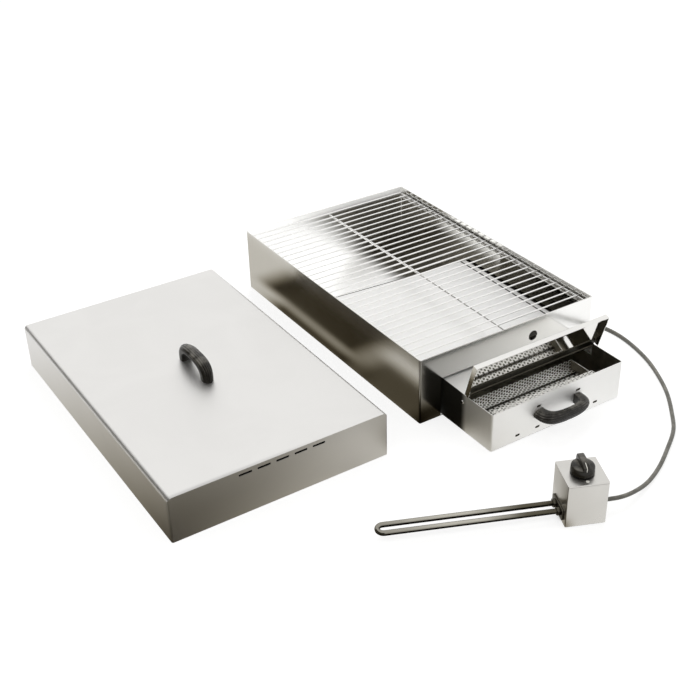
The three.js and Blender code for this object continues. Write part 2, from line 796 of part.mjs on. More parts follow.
// The cover: a plate with lips down three sides that closes over the basket.
function drawerCover() {
  const rear = hingeY - knuckleRadius - seam;
  const front = drawerFront - seam - sheet;
  const plate = block(-coverHalf, coverHalf, front, rear, coverBase, coverBase + sheet);
  const low = coverBase + sheet - coverLip;
  const lips = [
    block(-coverHalf, -coverHalf + sheet, front, rear, low, coverBase + sheet),
    block(coverHalf - sheet, coverHalf, front, rear, low, coverBase + sheet),
    block(-coverHalf, coverHalf, front, front + sheet, low, coverBase + sheet),
  ];
  return join(plate, ...lips);
}

// The cover and the hinge's moving leaf.
function cover() {
  const group = new THREE.Group();
  group.add(piece('drawer_cover', opened(drawerCover()), polished));
  const leafZ = coverBase - seam - leafSheet;
  group.add(piece('hinge_leaf_moving', opened(hingeLeaf(1, leafZ, -1)), polished));
  return group;
}

// The heater's frame: everything in it is built about the control box's foot.
const heater = new THREE.Group();
heater.position.set(heaterX, heaterY, 0);
heater.rotation.z = heaterTurn;
heater.updateMatrix();

// The control box: an open tub with holes for the element, the cord's bush and air.
function controlTub() {
  const top = boxHeight - boxLidDepth - seam;
  const shell = tray(boxSide, boxSide, top - footHeight, boxCorner).translate([0, 0, footHeight]);
  const legs = [-1, 1].map((side) => {
    const hole = polygon(boreSides, elementRadius + 2 * seam, (side * elementSpacing) / 2, elementHeight);
    return solid(alongX(hole, -boxSide / 2 - overrun, -boxSide / 2 + overrun));
  });
  const bush = polygon(roundSides, bushNeck + seam, 0, cordHeight);
  const bushCut = solid(alongX(bush, boxSide / 2 - overrun, boxSide / 2 + overrun));
  const feet = footPlaces().map(([x, y]) => solid(revolve([
    [0, 0], [footTreadShare * footRadius, 0], [footRadius, footHeight / 2],
    [footRadius, footHeight + sheet / 2], [0, footHeight + sheet / 2],
  ], roundSides)).translate([x, y, 0]));
  return piece('control_box', join(cut(shell, ...legs, bushCut), ...feet), steel);
}

// Where the box's feet stand.
function footPlaces() {
  const reach = boxSide / 2 - footInset;
  return [[-reach, -reach], [reach, -reach], [reach, reach], [-reach, reach]];
}

// The box's lid: a shallow pan upside down, with a hole for the thermostat's bushing.
function controlLid() {
  const base = boxHeight - boxLidDepth;
  const outer = solid(alongZ(roundedRectangle(boxSide, boxSide, boxCorner), base, boxHeight));
  const inner = roundedRectangle(boxSide - 2 * sheet, boxSide - 2 * sheet, boxCorner - sheet);
  const hollow = solid(alongZ(inner, base - overrun, boxHeight - sheet));
  const hole = solid(alongZ(polygon(roundSides, bushingRadius + seam), base, boxHeight + overrun));
  return piece('control_lid', cut(outer, hollow, hole), steel);
}

// The thermostat's body with its bushing through the lid, bored for the spindle.
function thermostat() {
  const top = boxHeight - sheet - seam;
  const side = thermostatSide / 2;
  const body = block(-side, side, -side, side, top - thermostatHeight, top);
  const bushing = solid(alongZ(polygon(roundSides, bushingRadius), top - sheet, boxHeight + bushingHeight));
  const bore = polygon(roundSides, shaftRadius + 2 * seam);
  const boreCut = solid(alongZ(bore, top - thermostatHeight / 2, boxHeight + bushingHeight + overrun));
  return piece('thermostat', cut(join(body, bushing), boreCut), ceramic);
}

// The knob: a round skirt with a tall bar grip that slopes to its pointer, bored for the spindle.
function knobBody() {
  const base = boxHeight + knobLift;
  const top = base + knobSkirt;
  const skirt = solid(revolve([
    [0, base], [knobRadius, base], [knobRadius, top - knobBevel], [knobRadius - knobBevel, top], [0, top],
  ], knobSides));
  const reach = knobRadius - seam;
  const side = outline([
    [-reach, top - knobBevel], [reach, top - knobBevel], [reach - knobBevel, top + gripHeight],
    [0, top + gripHeight], [-reach, top + gripHeight - gripSlope],
  ]);
  const grip = solid(alongX(side, -gripWidth / 2, gripWidth / 2));
  const hollow = revolve([
    [0, base - overrun], [knobRadius - knobWall, base - overrun], [knobRadius - knobWall, top - knobWall],
    [shaftRadius + knobWall, top - knobWall], [shaftRadius + knobWall, base + seam],
    [shaftRadius + seam, base + seam], [shaftRadius + seam, base + shaftRise - knobLift],
    [0, base + shaftRise - knobLift],
  ], knobSides / 2);
  return piece('knob', cut(join(skirt, grip), solid(hollow)), black);
}

// The spindle that the knob turns.
function knobShaft() {
  const low = boxHeight - sheet - seam - thermostatHeight / 2 + seam;
  const high = boxHeight + shaftRise - seam;
  return piece('knob_shaft', alongZ(polygon(roundSides, shaftRadius), low, high), brass);
}

// The element's centre line: out along one leg, round the bend and back.
class ElementLoop extends THREE.Curve {
  getUtoTmapping(u) {
    return u;
  }

  getPoint(t, target = new THREE.Vector3()) {
    const radius = elementSpacing / 2;
    const share = 1 / (elementBendSteps + 2);
    const start = -boxSide / 2 + elementInside;
    const bendX = -boxSide / 2 - elementReach + radius + elementRadius;
    if (t < share) {
      return target.set(start + ((bendX - start) * t) / share, radius, elementHeight);
    }
    if (t > 1 - share) {
      return target.set(start + ((bendX - start) * (1 - t)) / share, -radius, elementHeight);
    }
    const angle = (Math.PI * (t - share)) / (1 - 2 * share);
    return target.set(bendX - radius * Math.sin(angle), radius * Math.cos(angle), elementHeight);
  }
}

// The sheathed heating element.
function elementTube() {
  const options = { steps: elementBendSteps + 2, extrudePath: new ElementLoop(), bevelEnabled: false };
  const section = polygon(elementSides, elementRadius);
  return piece('element_tube', new THREE.ExtrudeGeometry(section, options), element);
}

// The plate that holds the element's two legs on the box.
function elementFlange() {
  const outer = roundedRectangle(flangeLength, flangeHeight, flangeCorner, 0, elementHeight);
  const face = -boxSide / 2 - seam;
  const legs = [-1, 1].map((side) => {
    const hole = polygon(boreSides, elementRadius + 2 * seam, (side * elementSpacing) / 2, elementHeight);
    return solid(alongX(hole, face - flangeSheet - overrun, face + overrun));
  });
  const plate = solid(alongX(outer, face - flangeSheet, face));
  return piece('element_flange', cut(plate, ...legs), steel);
}

// A hexagon gland nut round one leg of the element.
function elementNut(name, side) {
  const y = (side * elementSpacing) / 2;
  const face = -boxSide / 2 - flangeSheet - 2 * seam;
  const outer = solid(alongX(polygon(nutSides, nutRadius, y, elementHeight), face - nutHeight, face));
  const hole = polygon(boreSides, elementRadius + seam, y, elementHeight);
  return piece(name, cut(outer, solid(alongX(hole, face - nutHeight - overrun, face + overrun))), steel);
}

// The bush that the cord leaves the box through.
function cordBush() {
  const face = boxSide / 2;
  const turned = revolve([
    [0, -sheet - bushLip], [bushNeck, -sheet - bushLip], [bushNeck, seam], [bushRadius, seam],
    [bushTaperShare * bushRadius, seam + bushLip], [0, seam + bushLip],
  ], roundSides);
  return piece('cord_bush', turned.rotateY(Math.PI / 2).translate(face, 0, cordHeight), black);
}

// The end of the bush in the whole object's frame, at a distance further out.
function bushEnd(further) {
  const out = boxSide / 2 + seam + bushLip + further;
  return new THREE.Vector3(out, 0, cordHeight).applyMatrix4(heater.matrix);
}

// The cord's free stretch, from the bush to the coil.
function cordLead() {
  const z = coilLowZ();
  const x = coilX - coilMidRadius - coilPitch;
  const straight = 3 * cordRadius;
  const end = coilY - 2 * cordRadius - seam;
  const points = [
    bushEnd(seam), bushEnd(straight),
    ...cordRoute.map(([a, b, c]) => new THREE.Vector3(a, b, c)),
    new THREE.Vector3(x, end - 2 * straight, z),
    new THREE.Vector3(x, end - straight, z),
    new THREE.Vector3(x, end, z),
  ];
  const path = new THREE.CatmullRomCurve3(points, false, 'centripetal');
  console.log(`cord lead ${path.getLength().toFixed(1)} mm`);
  const options = { steps: cordSteps, extrudePath: path, bevelEnabled: false };
  return piece('cord_lead', new THREE.ExtrudeGeometry(polygon(cordSides, cordRadius), options), rubber);
}

// Height of the coil's lower layer: the tie passes below it.
function coilLowZ() {
  return cordRadius + tieSheet + seam + floorGap;
}

// The coil's centre line: in on the lower layer, up half way, out on the upper and off to the plug.
class Coil extends THREE.Curve {
  getUtoTmapping(u) {
    return u;
  }

  getPoint(t, target = new THREE.Vector3()) {
    const steps = coilTurns * coilLoopSteps;
    const done = t * (steps + tailSteps + 1) - 1;
    const outer = coilMidRadius + coilPitch;
    if (done < 0) return target.set(coilX - outer, coilY + 2 * done * cordRadius, coilLowZ());
    const turn = Math.min(done, steps) / coilLoopSteps;
    const radius = outer - coilPitch * (coilTurns / 2 - Math.abs(turn - coilTurns / 2));
    const climb = THREE.MathUtils.smoothstep(turn, coilTurns / 2 - climbShare, coilTurns / 2 + climbShare);
    const angle = Math.PI - 2 * Math.PI * turn;
    const z = coilLowZ() + coilPitch * climb;
    const start = 2 * cordRadius;
    const tail = (Math.max(done - steps, 0) / tailSteps) * coilTail;
    const rise = THREE.MathUtils.smoothstep(tail, 0, coilTail - start) * (plugZ() - coilLowZ() - coilPitch);
    return target.set(
      coilX + radius * Math.cos(angle), coilY + start * Math.min(done, 0) + radius * Math.sin(angle) + tail,
      z + rise,
    );
  }
}

// Height of the plug's axis as it lies on the table.
function plugZ() {
  return plugRadius + floorGap;
}

// The least gap between parts of the coil more than half a turn apart, measured on points.
function coilSelfGap(path) {
  const points = [];
  const count = coilTurns * coilLoopSteps * 2;
  for (let i = 0; i <= count; i += 1) points.push(path.getPoint(i / count));
  const apart = coilLoopSteps;
  let least = Infinity;
  points.forEach((a, i) => points.slice(i + apart).forEach((b) => {
    least = Math.min(least, a.distanceTo(b));
  }));
  return least - 2 * cordRadius;
}

// The coil with its loops, one unbroken tube.
function cordCoil() {
  const path = new Coil();
  console.log(`coil gap to itself ${coilSelfGap(path).toFixed(2)} mm`);
  const steps = coilTurns * coilLoopSteps + tailSteps + 1;
  const options = { steps, extrudePath: path, bevelEnabled: false };
  return piece('cord_coil', new THREE.ExtrudeGeometry(polygon(coilSides, cordRadius), options), rubber);
}

// The strap round the coil on its far side.
function coilTie() {
  const inner = coilMidRadius - coilPitch / 2 - cordRadius - tieSlack;
  const outer = coilMidRadius + coilPitch / 2 + cordRadius + tieSlack;
  const low = coilLowZ() - cordRadius - seam;
  const high = coilLowZ() + coilPitch + cordRadius + seam;
  const size = [outer - inner, high - low];
  const centre = [(outer + inner) / 2 + coilX, (high + low) / 2];
  const band = roundedRectangle(size[0] + 2 * tieSheet, size[1] + 2 * tieSheet, 2 * tieSheet, ...centre);
  band.holes.push(roundedRectangle(...size, tieSheet, ...centre));
  return piece('coil_tie', alongY(band, coilY - tieWidth / 2, coilY + tieWidth / 2), black);
}

// Where the plug's cord end lies.
function plugStart() {
  const x = coilX - coilMidRadius - coilPitch;
  return new THREE.Vector3(x, coilY + coilTail + seam, plugZ());
}

// The moulded plug: neck, waisted grip and round face.
function plugBody() {
  const face = plugNeckLength + plugLength;
  const turned = revolve([
    [0, 0], [plugNeck, 0], [plugNeck + plugNeckFlare, plugNeckLength],
    [plugGrip, plugNeckLength + plugNeck],
    [plugWaistShare * plugGrip, plugNeckLength + plugWaistPlaceShare * plugLength],
    [plugRadius, face - plugFaceShare * plugLength], [plugRadius, face - plugBevel],
    [plugRadius - plugBevel, face], [0, face],
  ], plugSides);
  const start = plugStart();
  turned.rotateX(-Math.PI / 2).translate(start.x, start.y, start.z);
  return piece('plug_body', turned, black);
}

// One of the plug's pins.
function plugPin(name, side) {
  const start = plugStart();
  const from = start.y + plugNeckLength + plugLength + seam;
  const x = start.x + (side * plugPinSpacing) / 2;
  return piece(name, alongY(polygon(boreSides, plugPinRadius, x, start.z), from, from + plugPinLength), brass);
}

heater.add(
  controlTub(), controlLid(), thermostat(), knobBody(), knobShaft(), elementTube(), elementFlange(),
  elementNut('element_nut_1', -1), elementNut('element_nut_2', 1), cordBush(),
);

const smoker = new THREE.Group();
smoker.add(...bodyNodes(), dripPlate(), drawerGuide(-1), drawerGuide(1));
smoker.add(gridLedge('ledge_left', -1), gridLedge('ledge_right', 1), foodGrid());
smoker.add(lid(), drawer(), cover(), heater);
smoker.add(cordLead(), cordCoil(), coilTie(), plugBody(), plugPin('plug_pin_1', -1), plugPin('plug_pin_2', 1));

export default smoker;
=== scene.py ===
"""Finishes and fine pieces of a table-top food smoker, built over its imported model.

The smoker stands open: the lid lies beside the body, the sawdust drawer is pulled out with its
cover up, and the heater lies in front with its cord running off to the right. Everything is in
metres in the model's own frame, with +Z up and -Y out of the drawer's end.
"""

from __future__ import annotations

import json
import logging
import math
from dataclasses import dataclass, field
from enum import Enum, IntEnum
from typing import Callable, Sequence

import bpy
from mathutils import Matrix, Vector

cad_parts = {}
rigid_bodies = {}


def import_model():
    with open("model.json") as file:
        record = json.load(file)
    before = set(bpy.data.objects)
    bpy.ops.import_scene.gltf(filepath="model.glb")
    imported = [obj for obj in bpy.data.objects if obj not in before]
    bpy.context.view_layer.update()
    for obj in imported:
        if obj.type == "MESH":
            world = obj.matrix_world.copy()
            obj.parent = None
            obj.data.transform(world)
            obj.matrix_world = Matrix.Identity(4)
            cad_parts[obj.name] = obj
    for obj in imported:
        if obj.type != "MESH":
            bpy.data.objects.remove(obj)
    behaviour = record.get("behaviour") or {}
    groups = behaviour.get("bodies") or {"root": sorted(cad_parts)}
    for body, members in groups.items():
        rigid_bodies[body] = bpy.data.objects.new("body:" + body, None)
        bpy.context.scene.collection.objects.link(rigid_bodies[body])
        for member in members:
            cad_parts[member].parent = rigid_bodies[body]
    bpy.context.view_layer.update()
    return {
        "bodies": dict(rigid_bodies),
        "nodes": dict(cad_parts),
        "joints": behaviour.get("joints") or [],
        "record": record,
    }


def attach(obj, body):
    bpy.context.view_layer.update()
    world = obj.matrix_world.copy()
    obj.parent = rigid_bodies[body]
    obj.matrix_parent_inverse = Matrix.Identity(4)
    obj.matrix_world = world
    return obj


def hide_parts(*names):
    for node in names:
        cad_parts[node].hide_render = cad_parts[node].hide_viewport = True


MM = 0.001
THIN_EDGE = 0.3 * MM
FOLD_ANGLE = math.radians(38.0)
FACING = 0.9
ENDLESS = 10.0
GRAIN_DEPTH = 0.0002
LOG = logging.getLogger("smoker")

Colour = tuple[float, float, float]
Place = tuple[float, float, float]
Socket = bpy.types.NodeSocket


# Shader building


class ShaderGraph:
    """Places and joins the nodes of one material, world or node group."""

    def __init__(self, tree: bpy.types.NodeTree) -> None:
        """Keeps the tree that the nodes go into."""
        self.tree = tree

    @classmethod
    def of_material(cls, name: str) -> tuple[bpy.types.Material, "ShaderGraph"]:
        """Makes an empty material.

        Args:
            name: the material's name.
        Returns:
            The material and the graph of its nodes.
        """
        material = bpy.data.materials.new(name)
        material.use_nodes = True
        material.node_tree.nodes.clear()
        return material, cls(material.node_tree)

    def node(self, kind: str, values: dict | None = None, **settings: object) -> bpy.types.Node:
        """Adds a node.

        Args:
            kind: the node's Blender type.
            values: input name or number to a value or to the socket that feeds it.
            settings: properties set on the node itself.
        Returns:
            The new node.
        """
        made = self.tree.nodes.new(kind)
        for key, value in settings.items():
            setattr(made, key, value)
        for key, value in (values or {}).items():
            self.feed(made.inputs[key], value)
        return made

    def feed(self, socket: Socket, value: object) -> None:
        """Sets an input to a value, or joins it to the socket given."""
        if isinstance(value, bpy.types.NodeSocket):
            self.tree.links.new(value, socket)
        else:
            socket.default_value = value

    def sum_of(self, operation: str, first: object, second: object = 0.0, clamp: bool = False) -> Socket:
        """Adds a Math node.

        Args:
            operation: the Math node's operation.
            first: the first value or socket.
            second: the second value or socket.
            clamp: whether the result is held between 0 and 1.
        Returns:
            The node's output.
        """
        made = self.node("ShaderNodeMath", {0: first, 1: second}, operation=operation)
        made.use_clamp = clamp
        return made.outputs[0]

    def ramp(self, value: Socket, low: float, high: float, to_low: float = 0.0, to_high: float = 1.0) -> Socket:
        """Maps a value smoothly from one range to another.

        Args:
            value: the socket to map.
            low: where the range starts.
            high: where the range ends.
            to_low: the result at the start.
            to_high: the result at the end.
        Returns:
            The mapped value.
        """
        made = self.node(
            "ShaderNodeMapRange",
            {"Value": value, "From Min": low, "From Max": high, "To Min": to_low, "To Max": to_high},
            interpolation_type="SMOOTHSTEP",
        )
        return made.outputs["Result"]

    def blend_colour(self, share: object, first: object, second: object) -> Socket:
        """Mixes two colours by a share.

        Args:
            share: how much of the second colour shows.
            first: a colour or socket.
            second: a colour or socket.
        Returns:
            The mixed colour.
        """
        made = self.node("ShaderNodeMix", data_type="RGBA")
        self.feed(made.inputs[0], share)
        self.feed(made.inputs[6], solid_colour(first))
        self.feed(made.inputs[7], solid_colour(second))
        return made.outputs[2]

    def effect(self, tree: bpy.types.NodeTree, values: dict) -> bpy.types.Node:
        """Places a shared node group with its own values."""
        made = self.node("ShaderNodeGroup", node_tree=tree)
        for key, value in values.items():
            self.feed(made.inputs[key], value)
        return made

    def finish(self, shader: Socket) -> None:
        """Joins the shader to the material's output."""
        output = self.node("ShaderNodeOutputMaterial")
        self.tree.links.new(shader, output.inputs["Surface"])


def solid_colour(value: object) -> object:
    """Gives a plain colour its alpha, and leaves a socket as it is."""
    if isinstance(value, tuple) and len(value) == 3:
        return (*value, 1.0)
    return value


class Effects:
    """The shared shader groups, each built once and placed in every finish that uses it."""

    _made: dict[str, bpy.types.NodeTree] = {}

    @classmethod
    def _start(cls, name: str, inputs: Sequence[tuple[str, str, object]],
               outputs: Sequence[str]) -> tuple[ShaderGraph, bpy.types.Node, bpy.types.Node]:
        """Opens a new group.

        Args:
            name: the group's name.
            inputs: name, kind and default of each input.
            outputs: the names of the value outputs.
        Returns:
            The group's graph, its input node and its output node.
        """
        tree = bpy.data.node_groups.new(name, "ShaderNodeTree")
        for label, kind, default in inputs:
            socket = tree.interface.new_socket(label, in_out="INPUT", socket_type=kind)
            socket.default_value = default
        for label in outputs:
            tree.interface.new_socket(label, in_out="OUTPUT", socket_type="NodeSocketFloat")
        graph = ShaderGraph(tree)
        cls._made[name] = tree
        return graph, graph.node("NodeGroupInput"), graph.node("NodeGroupOutput")

    @classmethod
    def grain(cls) -> bpy.types.NodeTree:
        """Fine drawn-out lines, as rolling or brushing leaves them."""
        name = "Drawn grain"
        if name not in cls._made:
            graph, given, result = cls._start(
                name, [("Stretch", "NodeSocketVector", (900.0, 6.0, 900.0))], ["Grain"])
            place = graph.node("ShaderNodeTexCoord")
            drawn = graph.node("ShaderNodeVectorMath", {0: place.outputs["Object"], 1: given.outputs["Stretch"]},
                               operation="MULTIPLY")
            noise = graph.node("ShaderNodeTexNoise",
                               {"Vector": drawn.outputs[0], "Scale": 1.0, "Detail": 3.0, "Roughness": 0.62})
            graph.feed(result.inputs["Grain"], noise.outputs[0])
        return cls._made[name]

    @classmethod
    def marks(cls) -> bpy.types.NodeTree:
        """Soft clouds, as wiping and handling leave them."""
        name = "Handling marks"
        if name not in cls._made:
            graph, given, result = cls._start(
                name,
                [("Scale", "NodeSocketFloat", 9.0), ("Drift", "NodeSocketFloat", 0.6)],
                ["Marks", "Specks"])
            place = graph.node("ShaderNodeTexCoord")
            cloud = graph.node("ShaderNodeTexNoise",
                               {"Vector": place.outputs["Object"], "Scale": given.outputs["Scale"], "Detail": 4.0,
                                "Roughness": 0.55, "Distortion": given.outputs["Drift"]})
            fine = graph.node("ShaderNodeTexNoise",
                              {"Vector": place.outputs["Object"],
                               "Scale": graph.sum_of("MULTIPLY", given.outputs["Scale"], 26.0), "Detail": 2.0})
            graph.feed(result.inputs["Marks"], graph.ramp(cloud.outputs[0], 0.36, 0.66))
            graph.feed(result.inputs["Specks"], graph.ramp(fine.outputs[0], 0.58, 0.72))
        return cls._made[name]

    @classmethod
    def wear(cls) -> bpy.types.NodeTree:
        """Edges rubbed by use, broken up so that they aren't even."""
        name = "Edge wear"
        if name not in cls._made:
            graph, given, result = cls._start(name, [("Reach", "NodeSocketFloat", 0.06)], ["Wear"])
            shape = graph.node("ShaderNodeNewGeometry")
            place = graph.node("ShaderNodeTexCoord")
            broken = graph.node("ShaderNodeTexNoise",
                                {"Vector": place.outputs["Object"], "Scale": 160.0, "Detail": 3.0})
            high = graph.sum_of("ADD", 0.5, given.outputs["Reach"])
            rubbed = graph.node("ShaderNodeMapRange",
                                {"Value": shape.outputs["Pointiness"], "From Min": 0.505, "From Max": high})
            graph.feed(result.inputs["Wear"],
                       graph.sum_of("MULTIPLY", rubbed.outputs[0], broken.outputs[0], clamp=True))
        return cls._made[name]

    @classmethod
    def dust_and_sheen(cls) -> bpy.types.NodeTree:
        """A thin veil on what faces up: a little is settled dust, a large share is a painted sheen."""
        name = "Settled dust"
        if name not in cls._made:
            graph, given, result = cls._start(name, [("Amount", "NodeSocketFloat", 0.1)], ["Dust"])
            shape = graph.node("ShaderNodeNewGeometry")
            upward = graph.node("ShaderNodeSeparateXYZ", {0: shape.outputs["Normal"]})
            place = graph.node("ShaderNodeTexCoord")
            patchy = graph.node("ShaderNodeTexNoise",
                                {"Vector": place.outputs["Object"], "Scale": 60.0, "Detail": 5.0})
            facing = graph.ramp(upward.outputs["Z"], 0.3, 1.0)
            dust_and_sheen_veil = graph.sum_of("MULTIPLY", facing, graph.ramp(patchy.outputs[0], 0.35, 0.75))
            graph.feed(result.inputs["Dust"], graph.sum_of("MULTIPLY", dust_and_sheen_veil, given.outputs["Amount"]))
        return cls._made[name]


# Finishes


class Lay(Enum):
    """Which way a sheet's grain runs, as the stretch of its noise."""

    LENGTHWISE = (900.0, 6.0, 900.0)
    CROSSWISE = (6.0, 900.0, 900.0)
    UPRIGHT = (900.0, 900.0, 6.0)
    EVEN = (420.0, 420.0, 420.0)


@dataclass(frozen=True)
class PaintedPatch:
    """A patch of painted light on a finish, held to the piece's own coordinates: painted shade where its colour is
    dark, a painted reflection where it is bright.

    Attributes:
        centre: its middle.
        reach: how far it reaches along each axis.
        soft: over what share of its reach it fades.
        depth: how much of the finish's own colour it takes, from 0 to 1.
    """

    centre: Place
    reach: Place
    soft: float = 0.1
    depth: float = 1.0

    def mask(self, graph: ShaderGraph) -> Socket:
        """How strongly it shows at each place.

        Args:
            graph: the finish's graph.
        Returns:
            Its depth inside, and 0 outside.
        """
        place = graph.node("ShaderNodeTexCoord")
        away = graph.node("ShaderNodeVectorMath", {0: place.outputs["Object"], 1: self.centre}, operation="SUBTRACT")
        share = graph.node("ShaderNodeVectorMath", {0: away.outputs[0], 1: self.reach}, operation="DIVIDE")
        length = graph.node("ShaderNodeVectorMath", {0: share.outputs[0]}, operation="LENGTH")
        return graph.ramp(length.outputs["Value"], 1.0 - self.soft, 1.0 + self.soft, self.depth, 0.0)


@dataclass(frozen=True)
class SheetSteel:
    """Stainless sheet with a drawn grain, soft handling marks and patches of painted shade and painted reflection.

    Attributes:
        name: the finish's name.
        colour: the metal's colour.
        roughness: how blurred its reflections are.
        lay: which way its grain runs.
        grain: how far the grain changes the roughness.
        relief: how strongly the grain stands out.
        marks: how far the handling marks change the roughness.
        tone: how far the handling marks darken the colour.
        marks_scale: how small the marks are.
        painted_patches: its patches of painted shade and painted reflection.
        painted_colour: the colour painted in those patches, dark for shade and white for reflection.
        painted_glow: how strongly those patches glow, where they are a painted bright reflection.
    """

    name: str
    colour: Colour
    roughness: float
    lay: Lay = Lay.LENGTHWISE
    grain: float = 0.06
    relief: float = 0.02
    marks: float = 0.05
    tone: float = 0.05
    marks_scale: float = 9.0
    painted_patches: tuple[PaintedPatch, ...] = ()
    painted_colour: Colour = (0.022, 0.02, 0.014)
    painted_glow: float = 0.0

    def material(self) -> bpy.types.Material:
        """Builds the finish's material."""
        material, graph = ShaderGraph.of_material(self.name)
        grain = graph.effect(Effects.grain(), {"Stretch": self.lay.value}).outputs["Grain"]
        marks = graph.effect(Effects.marks(), {"Scale": self.marks_scale, "Drift": 0.7})
        dark = tuple(c * (1.0 - self.tone) for c in self.colour)
        colour = graph.blend_colour(marks.outputs["Marks"], self.colour, dark)
        painted_share = 0.0
        # Each patch paints its colour over the finish: painted shade where it is dark, a painted reflection where it
        # is bright.
        for painted_patch in self.painted_patches:
            mask = painted_patch.mask(graph)
            colour = graph.blend_colour(mask, colour, self.painted_colour)
            painted_share = graph.sum_of("MAXIMUM", mask, painted_share)
        rough = graph.sum_of("MULTIPLY_ADD", grain, self.grain)
        graph.feed(rough.node.inputs[2], self.roughness - self.grain / 2)
        rougher = graph.sum_of("MULTIPLY_ADD", marks.outputs["Marks"], self.marks)
        graph.feed(rougher.node.inputs[2], rough)
        bump = graph.node("ShaderNodeBump", {"Strength": self.relief, "Distance": GRAIN_DEPTH, "Height": grain})
        shader = graph.node("ShaderNodeBsdfPrincipled", {
            "Base Color": colour, "Metallic": 1.0, "Roughness": rougher, "Normal": bump.outputs[0]})
        # Bright patches also glow: a painted reflection.
        if self.painted_glow:
            graph.feed(shader.inputs["Emission Color"], graph.blend_colour(painted_share, (0.0, 0.0, 0.0), self.painted_colour))
            graph.feed(shader.inputs["Emission Strength"], self.painted_glow)
        graph.finish(shader.outputs[0])
        return material


@dataclass(frozen=True)
class HeatedSheath:
    """The element's dark sheath, tinted by heat along its length, with painted shade on its lower half.

    Attributes:
        name: the finish's name.
        cold: its colour beside the control box.
        hot: its colour along the middle.
        straw: its colour near the bend.
        painted_underside_shade: the dark colour painted on its lower half as shade.
        straw_end: between which X the straw colour gives way to the hot one.
        cold_start: between which X the hot colour gives way to the cold one.
        crest: between which heights the painted shade of its lower half gives way to the other colours.
        roughness: how blurred its reflections are.
    """

    name: str = "Heated sheath"
    cold: Colour = (0.1, 0.09, 0.065)
    hot: Colour = (0.3, 0.285, 0.245)
    straw: Colour = (0.5, 0.48, 0.42)
    painted_underside_shade: Colour = (0.035, 0.031, 0.021)
    straw_end: tuple[float, float] = (-0.36, -0.27)
    cold_start: tuple[float, float] = (-0.25, -0.16)
    crest: tuple[float, float] = (0.0152, 0.0182)
    roughness: float = 0.17

    def material(self) -> bpy.types.Material:
        """Builds the finish's material."""
        material, graph = ShaderGraph.of_material(self.name)
        place = graph.node("ShaderNodeTexCoord")
        across = graph.node("ShaderNodeSeparateXYZ", {0: place.outputs["Object"]})
        bands = graph.node("ShaderNodeTexNoise",
                           {"Vector": place.outputs["Object"], "Scale": 24.0, "Detail": 3.0})
        along = graph.sum_of("MULTIPLY_ADD", bands.outputs[0], 0.05)
        graph.feed(along.node.inputs[2], across.outputs["X"])
        tint = graph.blend_colour(graph.ramp(along, *self.straw_end), self.hot, self.straw)
        colour = graph.blend_colour(graph.ramp(along, *self.cold_start), tint, self.cold)
        marks = graph.effect(Effects.marks(), {"Scale": 40.0, "Drift": 0.4})
        rough = graph.ramp(marks.outputs["Marks"], 0.0, 1.0, self.roughness - 0.05, self.roughness + 0.1)
        # The lower half of the tube is painted dark: painted shade.
        lit_top = graph.ramp(across.outputs["Z"], *self.crest)
        shown = graph.blend_colour(lit_top, self.painted_underside_shade, colour)
        shader = graph.node("ShaderNodeBsdfPrincipled",
                            {"Base Color": shown, "Metallic": 1.0, "Roughness": rough})
        graph.finish(shader.outputs[0])
        return material


@dataclass(frozen=True)
class Moulding:
    """Moulded plastic or rubber with a skin, fine pores, rubbed edges and a veil on what faces up: a little dust, and
    where the veil is large a painted sheen.

    Attributes:
        name: the finish's name.
        colour: the moulding's colour.
        roughness: how dull its skin is.
        worn: the colour of rubbed edges.
        pores: how strongly the pores stand out.
        dust_and_sheen: how strongly the veil lightens what faces up: a small share is dust, a large share is a painted
            sheen.
        specular: how strongly the skin reflects.
        dust_and_sheen_veil: the colour of that dust and painted sheen.
    """

    name: str
    colour: Colour
    roughness: float
    worn: Colour = (0.12, 0.11, 0.09)
    pores: float = 0.05
    dust_and_sheen: float = 0.05
    specular: float = 0.5
    dust_and_sheen_veil: Colour = (0.55, 0.52, 0.46)

    def material(self) -> bpy.types.Material:
        """Builds the finish's material."""
        material, graph = ShaderGraph.of_material(self.name)
        grain = graph.effect(Effects.grain(), {"Stretch": Lay.EVEN.value}).outputs["Grain"]
        marks = graph.effect(Effects.marks(), {"Scale": 30.0, "Drift": 0.4})
        wear = graph.effect(Effects.wear(), {"Reach": 0.08}).outputs["Wear"]
        dust_and_sheen = graph.effect(Effects.dust_and_sheen(), {"Amount": self.dust_and_sheen}).outputs["Dust"]
        rubbed = graph.blend_colour(wear, self.colour, self.worn)
        colour = graph.blend_colour(dust_and_sheen, rubbed, self.dust_and_sheen_veil)
        rough = graph.ramp(marks.outputs["Marks"], 0.0, 1.0, self.roughness, self.roughness + 0.08)
        bump = graph.node("ShaderNodeBump", {"Strength": self.pores, "Distance": GRAIN_DEPTH, "Height": grain})
        shader = graph.node("ShaderNodeBsdfPrincipled", {
            "Base Color": colour, "Roughness": rough, "Normal": bump.outputs[0], "Specular IOR Level": self.specular})
        graph.finish(shader.outputs[0])
        return material


